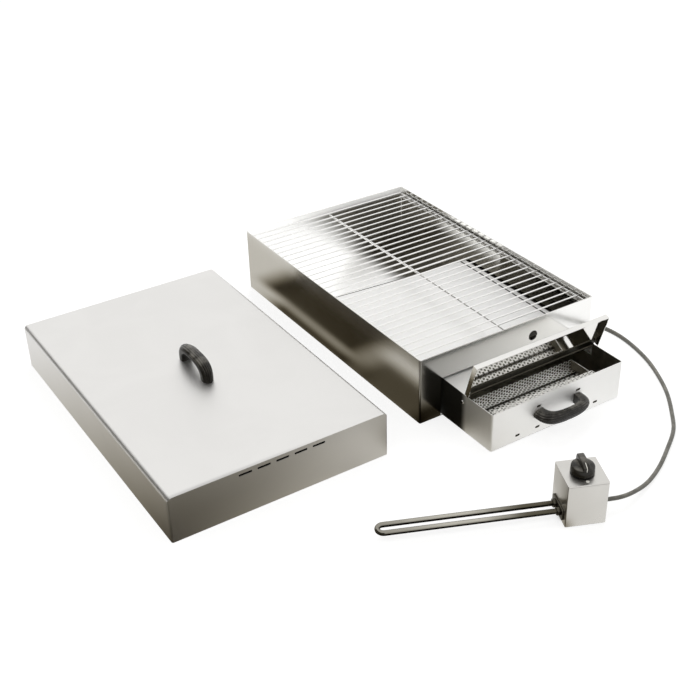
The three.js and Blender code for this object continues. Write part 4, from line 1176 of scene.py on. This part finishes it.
@dataclass
class BowHandle:
    """A bow handle: a full arch that swells into its feet, crowned outside and ribbed along its length.

    Attributes:
        span: its length over the feet.
        rise: how far it stands out.
        width: its width across the arch.
        thickness: its thickness at the middle.
        foot: its thickness at the feet.
        foot_share: the share of its width that the feet keep.
        fullness: how square the arch is.
        chamfer: the share of the section that its softened edges take.
        crown: how far the crown falls to its sides, as a share of the thickness.
        groove: how deep the grooves between its ribs are, as a share of the thickness.
        ribs: how many ribs it has.
        seat: the gap under its feet.
    """

    span: float = 102 * MM
    rise: float = 33 * MM
    width: float = 21 * MM
    thickness: float = 10 * MM
    foot: float = 19 * MM
    foot_share: float = 0.86
    fullness: float = 0.65
    chamfer: float = 0.12
    crown: float = 0.42
    groove: float = 0.06
    ribs: int = 5
    seat: float = 0.3 * MM

    def section(self) -> list[tuple[float, float]]:
        """The section as shares of the half width and of the thickness, its ribs outside."""
        edge = 1 - self.chamfer
        side = edge - self.crown
        bends = [math.radians(15 * i) for i in range(7)]
        right = [(edge + self.chamfer * math.sin(a), self.chamfer * (1 - math.cos(a))) for a in bends]
        shoulder = [(1.0, side * 0.8), (0.996, side), (0.975, side + 0.09), (0.935, side + 0.165)]
        ring = right + shoulder
        steps = 12 * self.ribs
        for i in range(steps + 1):
            across = edge * (1 - 2 * i / steps)
            dip = (0.5 - 0.5 * math.cos(math.pi * self.ribs * across / edge)) ** 2
            ring.append((across, 1 - self.crown * across * across - self.groove * dip))
        return ring + [(-across, out) for across, out in reversed(shoulder)] + [
            (-across, out) for across, out in reversed(right)]

    def ring(self, share: float, section: Sequence[tuple[float, float]]) -> list[Vector]:
        """The section at a share of the way from foot to foot.

        Args:
            share: the share of the way.
            section: the section's own shares.
        Returns:
            Its points, with the arch along X and its rise along Z.
        """
        angle = math.pi * share
        along = -math.copysign(abs(math.cos(angle)) ** self.fullness, math.cos(angle))
        up = max(math.sin(angle), 0.0) ** self.fullness
        inner = Vector((along * (self.span / 2 - self.foot), 0.0, up * (self.rise - self.thickness)))
        outer = Vector((along * self.span / 2, 0.0, up * self.rise))
        half = self.width / 2 * (self.foot_share + (1 - self.foot_share) * math.sin(angle))
        return [inner.lerp(outer, out) + Vector((0.0, half * across, 0.0)) for across, out in section]

    def build(self, name: str, place: Matrix) -> bpy.types.Object:
        """Builds the handle.

        Args:
            name: the piece's name.
            place: where the foot plane stands, with the arch along X and its rise along Z.
        Returns:
            The object.
        """
        section = self.section()
        half_steps = 36
        shares = [0.5 * (i / half_steps) ** 1.5 for i in range(half_steps + 1)]
        shares += [1 - share for share in reversed(shares[:-1])]
        made = loft(name, [[place @ point for point in self.ring(share, section)] for share in shares])
        shade_by_angle(made, 50)
        return made


class BodySide(IntEnum):
    """The stretches of the body's sheet, in the order of its materials."""

    OUTSIDE = 0
    INSIDE = 1
    REAR = 2
    GROUND = 3
    FRONT = 4


@dataclass
class Body:
    """The open body with its drip plate, guides and grid ledges.

    Attributes:
        edge: the radius of its softened edges.
        walls: the model's nodes that are one folded sheet on the real thing.
        half_width: how far out its inside can reach along X.
        half_length: how far out its inside can reach along Y.
        rim: how high its inside can reach.
        table: up to what height its faces are its underside.
    """

    edge: float = 0.45 * MM
    half_width: float = 178.2 * MM
    half_length: float = 279.2 * MM
    rim: float = 117.9 * MM
    table: float = 0.5 * MM
    walls: tuple[str, ...] = ("body_shell", "vent_wall", "entry_wall")

    def whole(self, walls: Sequence[bpy.types.Object]) -> bpy.types.Object:
        """Joins the body's stretches of wall into the one sheet that they are.

        Args:
            walls: the stretches, the largest first.
        Returns:
            The sheet.
        """
        sheet = bpy.data.objects.new("body_sheet", walls[0].data.copy())
        sheet.matrix_world = walls[0].matrix_world
        bpy.context.scene.collection.objects.link(sheet)
        for wall in walls[1:]:
            joined = sheet.modifiers.new("Joined wall", "BOOLEAN")
            joined.operation = "UNION"
            joined.solver = "EXACT"
            joined.object = wall
        bpy.context.view_layer.update()
        shape = sheet.evaluated_get(bpy.context.evaluated_depsgraph_get())
        mesh = bpy.data.meshes.new_from_object(shape)
        sheet.modifiers.clear()
        sheet.data = mesh
        mesh.name = sheet.name
        mesh.set_sharp_from_angle(angle=FOLD_ANGLE)
        return sheet

    def side_of(self, face: bpy.types.MeshPolygon) -> BodySide:
        """Which stretch of the sheet a face belongs to."""
        reach = max(abs(face.center.x) / self.half_width, abs(face.center.y) / self.half_length)
        if reach >= 1.0 or not self.table < face.center.z < self.rim:
            return BodySide.FRONT if face.normal.y < -FACING else BodySide.OUTSIDE
        if face.normal.y < -FACING and face.center.y > 0.0:
            return BodySide.REAR
        return BodySide.GROUND if face.normal.z > FACING else BodySide.INSIDE

    def build(self, frame: dict, finisher: Finisher, palette: Palette) -> None:
        """Dresses the body's pieces.

        Args:
            finisher: hands out the materials.
            palette: the smoker's finishes.
        """
        nodes = frame["nodes"]
        sheet = self.whole([nodes[name] for name in self.walls])
        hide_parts(*self.walls)
        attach(sheet, "smoker")
        finisher.dress(sheet, palette.body, self.edge)
        sheet.modifiers["Even shading"].keep_sharp = True
        for finish in (palette.inside, palette.rear, palette.ground, palette.front):
            sheet.data.materials.append(finisher.material(finish))
        for face in sheet.data.polygons:
            face.material_index = self.side_of(face)
        finisher.dress(nodes["drip_plate"], palette.drip, THIN_EDGE)
        for node in ("guide_left", "guide_right", "ledge_left", "ledge_right"):
            finisher.dress(nodes[node], palette.body, THIN_EDGE)
        LOG.info("body: shell, drip plate, guides and ledges")


@dataclass
class FoodGrid:
    """The wire grid: cross wires welded on three long wires.

    Attributes:
        wires: how many cross wires it has.
        first: where the nearest of them lies.
        pitch: the distance between them.
        half_length: half the cross wires' length.
        long_half: half the long wires' length.
        long_place: how far out the side wires run.
        height: the height of the cross wires.
        cross_radius: the cross wires' radius.
        long_radius: the long wires' radius.
        weld: how deep the cross wires are let into the long ones.
        sides: how many sides a wire has.
        end_round: how a wire's ends are rounded, as shares of its radius: how far along, and how wide.
    """

    wires: int = 30
    first: float = -251 * MM
    pitch: float = 17.95 * MM
    half_length: float = 174.5 * MM
    long_half: float = 270 * MM
    long_place: float = 172.5 * MM
    height: float = 110 * MM
    cross_radius: float = 1.5 * MM
    long_radius: float = 2.0 * MM
    weld: float = 0.4 * MM
    sides: int = 12
    end_round: tuple[tuple[float, float], ...] = ((0.0, 0.35), (0.12, 0.75), (0.4, 0.95), (0.8, 1.0))

    def wire(self, name: str, start: Vector, end: Vector, radius: float) -> bpy.types.Object:
        """One straight wire with rounded ends.

        Args:
            name: the piece's name.
            start: one end.
            end: the other end.
            radius: the wire's radius.
        Returns:
            The object.
        """
        way = (end - start).normalized()
        side = way.cross(Vector((0.0, 0.0, 1.0)))
        up = side.cross(way)
        length = (end - start).length
        rings = [(reach * radius, share) for reach, share in self.end_round]
        rings += [(length - reach, share) for reach, share in reversed(rings)]
        loops = []
        for along, share in rings:
            loop = []
            for i in range(self.sides):
                angle = 2 * math.pi * i / self.sides
                loop.append(start + way * along + (side * math.cos(angle) + up * math.sin(angle)) * radius * share)
            loops.append(loop)
        return loft(name, loops)

    def build(self, frame: dict, finisher: Finisher, palette: Palette) -> None:
        """Builds and dresses the grid.

        Args:
            finisher: hands out the materials.
            palette: the smoker's finishes.
        """
        low = self.height - self.cross_radius - self.long_radius + self.weld
        made = []
        for i, x in enumerate((-self.long_place, 0.0, self.long_place)):
            made.append(self.wire(f"long_{i}", Vector((x, -self.long_half, low)), Vector((x, self.long_half, low)),
                                  self.long_radius))
        for i in range(self.wires):
            y = self.first + i * self.pitch
            made.append(self.wire(f"cross_{i}", Vector((-self.half_length, y, self.height)),
                                  Vector((self.half_length, y, self.height)), self.cross_radius))
        grid = join_meshes(made, "grid_wires")
        stand_for(grid, "food_grid", "grid", finisher, palette.wire)
        LOG.info("grid: %d cross wires on 3 long wires", self.wires)


@dataclass
class Lid:
    """The lid lying on the table, with its bow handle.

    Attributes:
        height: the lid's height.
        handle_place: the handle's centre, a little nearer the lid's slotted end.
        edge: the radius of its softened edges.
        handle: its bow handle.
    """

    height: float = 78 * MM
    handle_place: tuple[float, float] = (-449.4 * MM, -41.5 * MM)
    edge: float = 0.6 * MM
    handle: BowHandle = field(default_factory=BowHandle)

    def build(self, frame: dict, finisher: Finisher, palette: Palette) -> None:
        """Builds and dresses the lid.

        Args:
            finisher: hands out the materials.
            palette: the smoker's finishes.
        """
        nodes = frame["nodes"]
        finisher.dress(nodes["lid_shell"], palette.lid, self.edge, 3)
        for node in ("lid_rest_left", "lid_rest_right"):
            finisher.dress(nodes[node], palette.lid, THIN_EDGE)
        for node in ("lid_screw_1", "lid_screw_2"):
            finisher.dress(nodes[node], palette.mirror, THIN_EDGE)
        foot = Matrix.Translation((*self.handle_place, self.height + self.handle.seat)) @ Matrix.Rotation(
            math.pi / 2, 4, "Z")
        stand_for(self.handle.build("lid_bow", foot), "lid_handle", "lid", finisher, palette.black)
        LOG.info("lid: shell, rests, screws and bow handle")


@dataclass
class Basket:
    """The sawdust basket: perforated sheet with a hooked rim, on two standing ends.

    Attributes:
        left: its left end.
        length: its length.
        front: its front wall.
        depth: its depth.
        floor: its floor's height.
        rim: the height of its rim.
        drawer_front: the drawer's front face, which the rim reaches over.
        back_top: the height of its back wall.
        foot: how far its ends stand above the table.
        entry_top: the height of the element's opening in its ends.
        entry_half: half that opening's width.
        entry_place: that opening's middle.
        corner: the radius of that opening's corners.
        corner_steps: into how many pieces a corner is divided.
        sheet: how thick its perforated sheet is.
        wall: how thick its ends are.
        rim_reach: how far the rim reaches behind its front wall.
        rim_pitch: the distance between the rim's holes.
        rim_hole: their diameter.
        rim_sheet: how thick the rim is.
        painted_shade_end: the stretch at its right end whose faces get the darker sheet as painted shade.
    """

    left: float = -130 * MM
    length: float = 205 * MM
    front: float = -399.5 * MM
    depth: float = 52 * MM
    floor: float = 48 * MM
    rim: float = 69.3 * MM
    drawer_front: float = -403.5 * MM
    back_top: float = 65.3 * MM
    foot: float = 2.6 * MM
    entry_top: float = 20.8 * MM
    entry_half: float = 14.8 * MM
    entry_place: float = -370.5 * MM
    corner: float = 4 * MM
    corner_steps: int = 8
    sheet: float = 0.5 * MM
    wall: float = 0.8 * MM
    rim_reach: float = 4.5 * MM
    rim_pitch: float = 5.0 * MM
    rim_hole: float = 3.4 * MM
    rim_sheet: float = 0.35 * MM
    painted_shade_end: float = 2 * MM

    def end_wall(self, name: str, x: float) -> bpy.types.Object:
        """One standing end, cut out round the element.

        Args:
            name: the piece's name.
            x: where it stands.
        Returns:
            The object.
        """
        front, back = self.front, self.front + self.depth
        low, high = self.entry_place - self.entry_half, self.entry_place + self.entry_half
        crown, top = self.entry_top - self.corner, self.back_top
        outline = [(front, self.foot), (low, self.foot), (low, crown)]
        for middle, start in ((low + self.corner, math.pi), (high - self.corner, math.pi / 2)):
            for i in range(1, self.corner_steps):
                angle = start - math.pi / 2 * i / self.corner_steps
                outline.append((middle + self.corner * math.cos(angle), crown + self.corner * math.sin(angle)))
        outline += [(high, crown), (high, self.foot), (back, self.foot), (back, top), (front, top)]
        wall = loft(name, [[Vector((x, y, z)) for y, z in outline],
                           [Vector((x + self.wall, y, z)) for y, z in outline]])
        shade_by_angle(wall, 30)
        return wall

    def build(self, finisher: Finisher, palette: Palette) -> None:
        """Builds and dresses the basket.

        Args:
            finisher: hands out the materials.
            palette: the smoker's finishes.
        """
        x_way, y_way, z_way = Vector((1, 0, 0)), Vector((0, 1, 0)), Vector((0, 0, 1))
        back, right = self.front + self.depth, self.left + self.length
        sheets = [
            PerforatedSheet(Vector((right, self.front, self.floor)), y_way, -x_way, self.depth, self.length,
                            thickness=self.sheet),
            PerforatedSheet(Vector((self.left, self.front, self.floor)), z_way, x_way, self.rim - self.floor,
                            self.length, thickness=self.sheet),
            PerforatedSheet(Vector((self.left, back - self.sheet, self.floor)), z_way, x_way,
                            self.back_top - self.floor, self.length, thickness=self.sheet),
            PerforatedSheet(Vector((right, self.drawer_front, self.rim)), y_way, -x_way,
                            self.front - self.drawer_front + self.rim_reach, self.length, self.rim_pitch,
                            self.rim_hole, self.rim_sheet, cut=False),
        ]
        made = []
        for i, sheet in enumerate(sheets):
            piece = sheet.build(f"basket_sheet_{i}")
            bpy.context.view_layer.objects.active = piece
            bpy.ops.object.modifier_apply(modifier="Sheet")
            made.append(piece)
        made.append(self.end_wall("basket_end_left", self.left))
        made.append(self.end_wall("basket_end_right", self.left + self.length - self.wall))
        basket = join_meshes(made, "basket_sheet")
        stand_for(basket, "sawdust_basket", "drawer", finisher, palette.basket)
        # The right end's faces get the darker sheet: painted shade.
        basket.data.materials.append(finisher.material(palette.painted_shade_sheet))
        for face in basket.data.polygons:
            if abs(face.normal.x) > FACING and face.center.x > right - self.painted_shade_end:
                face.material_index = 1
        LOG.info("basket: %d faces", len(basket.data.polygons))


@dataclass
class Drawer:
    """The sawdust drawer with its fixed plate, handle, basket and hinged cover.

    Attributes:
        front: the drawer's front face.
        handle_height: the height of its handle.
        half_width: how far out its inside can reach.
        middle: the middle of its length.
        rim: how high its inside can reach.
        sheet: how far behind its front face its inside starts.
        handle: its bow handle.
        basket: its sawdust basket.
    """

    front: float = -403.5 * MM
    handle_height: float = 36.5 * MM
    half_width: float = 133.4 * MM
    middle: float = -263.5 * MM
    rim: float = 68 * MM
    sheet: float = 0.3 * MM
    handle: BowHandle = field(default_factory=BowHandle)
    basket: Basket = field(default_factory=Basket)

    def gets_painted_shade(self, face: bpy.types.MeshPolygon) -> bool:
        """Whether a face of the box looks into the drawer, and so gets painted shade."""
        within = abs(face.center.x) < self.half_width and face.center.y > self.front + self.sheet
        outward = face.normal.x * face.center.x + face.normal.y * (face.center.y - self.middle)
        return within and outward < 1e-5 and face.normal.z > -0.5 and face.center.z < self.rim

    def build(self, frame: dict, finisher: Finisher, palette: Palette) -> None:
        """Builds and dresses the drawer and its cover.

        Args:
            finisher: hands out the materials.
            palette: the smoker's finishes.
        """
        nodes = frame["nodes"]
        finisher.dress(nodes["drawer_box"], palette.drawer, THIN_EDGE)
        # The faces that look into the drawer get the darker sheet: painted shade.
        nodes["drawer_box"].data.materials.append(finisher.material(palette.painted_shade_sheet))
        for face in nodes["drawer_box"].data.polygons:
            face.material_index = int(self.gets_painted_shade(face))
        finisher.dress(nodes["drawer_plate"], palette.drawer, THIN_EDGE)
        for node in ("drawer_rivet_left", "drawer_rivet_right", "drawer_screw_1", "drawer_screw_2"):
            finisher.dress(nodes[node], palette.mirror, THIN_EDGE)
        for node in ("hinge_leaf_fixed", "hinge_leaf_moving", "hinge_pin"):
            finisher.dress(nodes[node], palette.hinge, THIN_EDGE / 2)
        finisher.dress(nodes["drawer_cover"], palette.mirror, THIN_EDGE)
        nodes["drawer_cover"].data.materials.append(finisher.material(palette.drawer))
        for face in nodes["drawer_cover"].data.polygons:
            face.material_index = int(face.normal.y > 0.5)
        foot = Matrix.Translation((0.0, self.front - self.handle.seat, self.handle_height)) @ Matrix.Rotation(
            math.pi / 2, 4, "X")
        stand_for(self.handle.build("drawer_bow", foot), "drawer_handle", "drawer", finisher,
                  palette.black)
        self.basket.build(finisher, palette)
        LOG.info("drawer: box, plate, hinge, cover and bow handle")


# Studio


@dataclass(frozen=True)
class FloorShade:
    """A soft-edged stretch of painted shade on the table top, which only the metal's reflections show.

    Attributes:
        low: its corner nearest -X and -Y.
        high: its corner nearest +X and +Y.
        soft: over how much of X and of Y its edges fade.
        depth: how much light it takes, from 0 to 1.
    """

    low: tuple[float, float]
    high: tuple[float, float]
    soft: tuple[float, float]
    depth: float

    def light(self, graph: ShaderGraph, spot: bpy.types.Node) -> Socket:
        """How much light is left at each place.

        Args:
            graph: the table top's graph.
            spot: the node that gives the place's coordinates.
        Returns:
            1 outside the shade, and less inside it.
        """
        bands = []
        for axis, low, high, soft in zip("XY", self.low, self.high, self.soft):
            entered = graph.ramp(spot.outputs[axis], low - soft, low + soft)
            left = graph.ramp(spot.outputs[axis], high - soft, high + soft, 1.0, 0.0)
            bands.append(graph.sum_of("MULTIPLY", entered, left))
        inside = graph.sum_of("MULTIPLY", *bands)
        return graph.sum_of("SUBTRACT", 1.0, graph.sum_of("MULTIPLY", inside, self.depth))


@dataclass(frozen=True)
class Lamp:
    """One soft square lamp, which the metal doesn't mirror.

    Attributes:
        name: its name.
        place: where it hangs.
        target: what it points at.
        size: its side.
        power: its power in watts.
    """

    name: str
    place: Place
    target: Place
    size: float
    power: float

    def hang(self) -> None:
        """Adds the lamp to the scene."""
        data = bpy.data.lights.new(self.name, "AREA")
        data.shape = "SQUARE"
        data.size = self.size
        data.energy = self.power
        made = bpy.data.objects.new(self.name, data)
        made.visible_glossy = False
        made.location = self.place
        made.rotation_euler = (Vector(self.target) - Vector(self.place)).to_track_quat("-Z", "Y").to_euler()
        bpy.context.scene.collection.objects.link(made)


@dataclass
class Studio:
    """The white table top, the soft lamps, the surroundings and the camera.

    Attributes:
        camera_place: where the camera stands.
        yaw: how far it is turned from +Y towards +X.
        pitch: how far it looks down.
        roll: how far it is rolled.
        lens: its focal length in millimetres, on a 36 mm frame.
        shades: the stretches of painted shade on the table, which look dark in the metal.
        shut_in: how far walls may be for a place under them to be dark.
        open_share: between which shares of open sky a place turns from dark to light.
        dim_centre: the corner of the table from which the painted light that the metal mirrors grows.
        dim_reach: how far away it is full.
        dim_least: how much of it is left at that corner.
        warmth: the power of each colour channel's light, which makes what is dark warm.
        table: the colour of the table's own light.
        table_sheen: how much of the lamps' light it adds, which keeps the object's shadow.
        table_shut_in: the table's colour where it is shut in.
        table_bounce: the colour with which it lights the object.
        dark_side: the colour of the surroundings' dark side.
        dark_way: between which shares of +X the dark side gives way to the light.
        dark_height: between which heights it ends.
        ambient: the colour with which the surroundings light the object.
        lamps: the lamps.
    """

    camera_place: Place = (-1.08405, -1.50905, 1.08711)
    yaw: float = 0.5635
    pitch: float = 0.5554
    roll: float = -0.024
    lens: float = 60.04
    shades: tuple[FloorShade, ...] = (
        FloorShade((-0.275, -0.06), (-0.205, 0.285), (0.012, 0.045), 0.96),
        FloorShade((-0.205, -0.1), (-0.165, 0.22), (0.02, 0.06), 0.94),
        FloorShade((-0.25, -0.38), (-0.165, -0.06), (0.02, 0.06), 0.9),
        FloorShade((-0.3, 0.22), (-0.165, 0.6), (0.02, 0.05), 0.42),
        FloorShade((-0.21, -0.43), (-0.13, -0.29), (0.02, 0.03), 0.3),
        FloorShade((-0.24, -0.33), (-0.1, -0.26), (0.02, 0.03), 0.95),
        FloorShade((-0.42, -0.62), (-0.155, -0.455), (0.015, 0.015), 0.93),
    )
    shut_in: float = 300 * MM
    open_share: tuple[float, float] = (0.08, 0.2)
    dim_centre: Place = (-0.65, -0.33, 0.0)
    dim_reach: float = 0.68
    dim_least: float = 0.02
    warmth: tuple[float, float, float] = (1.0, 1.065, 1.22)
    table: Colour = (0.74, 0.74, 0.74)
    table_sheen: Colour = (0.4, 0.4, 0.4)
    table_shut_in: Colour = (0.04, 0.038, 0.033)
    table_bounce: Colour = (0.8, 0.79, 0.77)
    dark_side: Colour = (0.03, 0.024, 0.014)
    dark_way: tuple[float, float] = (-0.44, -0.3)
    dark_height: tuple[float, float] = (0.66, 0.8)
    ambient: Colour = (0.62, 0.615, 0.6)
    lamps: tuple[Lamp, ...] = (
        Lamp("Key lamp", (0.9, 1.2, 2.2), (-0.1, -0.1, 0.0), 1.6, 26.0),
        Lamp("Fill lamp", (-1.8, -0.6, 1.8), (-0.1, -0.2, 0.0), 1.8, 12.0),
    )

    def camera(self) -> None:
        """Makes the camera at the photograph's angle."""
        ahead = Vector((math.sin(self.yaw) * math.cos(self.pitch), math.cos(self.yaw) * math.cos(self.pitch),
                        -math.sin(self.pitch)))
        level = ahead.cross(Vector((0.0, 0.0, 1.0))).normalized()
        upright = level.cross(ahead)
        right = level * math.cos(self.roll) + upright * math.sin(self.roll)
        up = upright * math.cos(self.roll) - level * math.sin(self.roll)
        data = bpy.data.cameras.new("Studio camera")
        data.lens = self.lens
        data.sensor_width = 36.0
        data.clip_start = 0.05
        data.clip_end = 60.0
        made = bpy.data.objects.new("Studio camera", data)
        turn = Matrix((right, up, -ahead)).transposed().to_4x4()
        made.matrix_world = Matrix.Translation(self.camera_place) @ turn
        bpy.context.scene.collection.objects.link(made)
        bpy.context.scene.camera = made

    def floor(self) -> None:
        """Makes the white table top, which keeps the object's shadow."""
        reach = 30.0
        plane = make_mesh("table_top", [(-reach, -reach, 0), (reach, -reach, 0), (reach, reach, 0),
                                        (-reach, reach, 0)], [(0, 1, 2, 3)], smooth=False)
        plane.location.z = -0.05 * MM
        material, graph = ShaderGraph.of_material("Table top")
        path = graph.node("ShaderNodeLightPath")
        place = graph.node("ShaderNodeTexCoord")
        spot = graph.node("ShaderNodeSeparateXYZ", {0: place.outputs["Object"]})
        # What the metal mirrors of the table is painted light: a glow that grows away from one corner, darkened by the
        # painted shades.
        away = graph.node("ShaderNodeVectorMath", {0: place.outputs["Object"], 1: self.dim_centre},
                          operation="DISTANCE")
        growing = graph.node("ShaderNodeMapRange", {"Value": away.outputs["Value"], "From Min": 0.0,
                                                    "From Max": self.dim_reach, "To Min": self.dim_least,
                                                    "To Max": 1.0})
        mirrored = growing.outputs["Result"]
        for shade in self.shades:
            mirrored = graph.sum_of("MULTIPLY", mirrored, shade.light(graph, spot))
        seen = graph.sum_of("MAXIMUM", path.outputs["Is Camera Ray"], path.outputs["Is Transmission Ray"])
        open_sky = graph.node("ShaderNodeAmbientOcclusion", {"Distance": self.shut_in}, samples=16)
        open_air = graph.ramp(open_sky.outputs["AO"], *self.open_share)
        plain, dull, pale = (graph.node("ShaderNodeBsdfDiffuse", {"Color": solid_colour(colour)})
                             for colour in (self.table_bounce, self.table_shut_in, self.table_sheen))
        glow = graph.node("ShaderNodeEmission", {"Color": solid_colour(self.table), "Strength": 1.0})
        white = graph.node("ShaderNodeAddShader", {0: pale.outputs[0], 1: glow.outputs[0]})
        looked_at = graph.node("ShaderNodeMixShader", {0: open_air, 1: dull.outputs[0], 2: white.outputs[0]})
        strength = graph.sum_of("MULTIPLY", mirrored, open_air)
        warm = graph.node("ShaderNodeCombineColor", {
            channel: graph.sum_of("POWER", strength, power)
            for channel, power in zip(("Red", "Green", "Blue"), self.warmth)})
        image = graph.node("ShaderNodeEmission", {"Color": warm.outputs[0], "Strength": 1.0})
        unseen = graph.node("ShaderNodeMixShader", {0: path.outputs["Is Glossy Ray"], 1: plain.outputs[0],
                                                    2: image.outputs[0]})
        mixed = graph.node("ShaderNodeMixShader", {0: seen, 1: unseen.outputs[0], 2: looked_at.outputs[0]})
        graph.finish(mixed.outputs[0])
        plane.data.materials.append(material)

    def world(self) -> None:
        """Makes the surroundings: white to look at, with a dark side to the left that only metal shows."""
        world = bpy.data.worlds.new("Studio")
        world.use_nodes = True
        world.node_tree.nodes.clear()
        bpy.context.scene.world = world
        graph = ShaderGraph(world.node_tree)
        path = graph.node("ShaderNodeLightPath")
        place = graph.node("ShaderNodeTexCoord")
        way = graph.node("ShaderNodeSeparateXYZ", {0: place.outputs["Generated"]})
        level = graph.sum_of("SQRT", graph.sum_of(
            "ADD", graph.sum_of("POWER", way.outputs["X"], 2.0), graph.sum_of("POWER", way.outputs["Y"], 2.0)))
        sideways = graph.sum_of("DIVIDE", way.outputs["X"], graph.sum_of("MAXIMUM", level, 0.001))
        left = graph.ramp(sideways, *self.dark_way, 1.0, 0.0)
        low = graph.ramp(way.outputs["Z"], *self.dark_height, 1.0, 0.0)
        shown = graph.blend_colour(graph.sum_of("MULTIPLY", left, low), (1.0, 1.0, 1.0), self.dark_side)
        seen = graph.sum_of("MAXIMUM", path.outputs["Is Camera Ray"], path.outputs["Is Transmission Ray"])
        mirrored = graph.blend_colour(path.outputs["Is Glossy Ray"], self.ambient, shown)
        colour = graph.blend_colour(seen, mirrored, (1.0, 1.0, 1.0))
        light = graph.node("ShaderNodeBackground", {"Color": colour, "Strength": 1.0})
        output = graph.node("ShaderNodeOutputWorld")
        graph.tree.links.new(light.outputs[0], output.inputs["Surface"])

    def build(self) -> None:
        """Builds the studio."""
        self.camera()
        self.floor()
        self.world()
        for lamp in self.lamps:
            lamp.hang()
        bpy.context.scene.view_settings.view_transform = "Standard"
        LOG.info("studio: camera, table, lamps and surroundings")


def main() -> None:
    """Builds the studio and every sub-assembly in order."""
    logging.basicConfig(level=logging.INFO, format="%(name)s: %(message)s")
    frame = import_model()
    Studio().build()
    finisher = Finisher()
    palette = Palette()
    heater = Heater()
    Cord().build(frame, finisher, palette, heater)
    heater.build(frame, finisher, palette)
    Body().build(frame, finisher, palette)
    FoodGrid().build(frame, finisher, palette)
    Lid().build(frame, finisher, palette)
    Drawer().build(frame, finisher, palette)


if __name__ == "__main__":
    main()
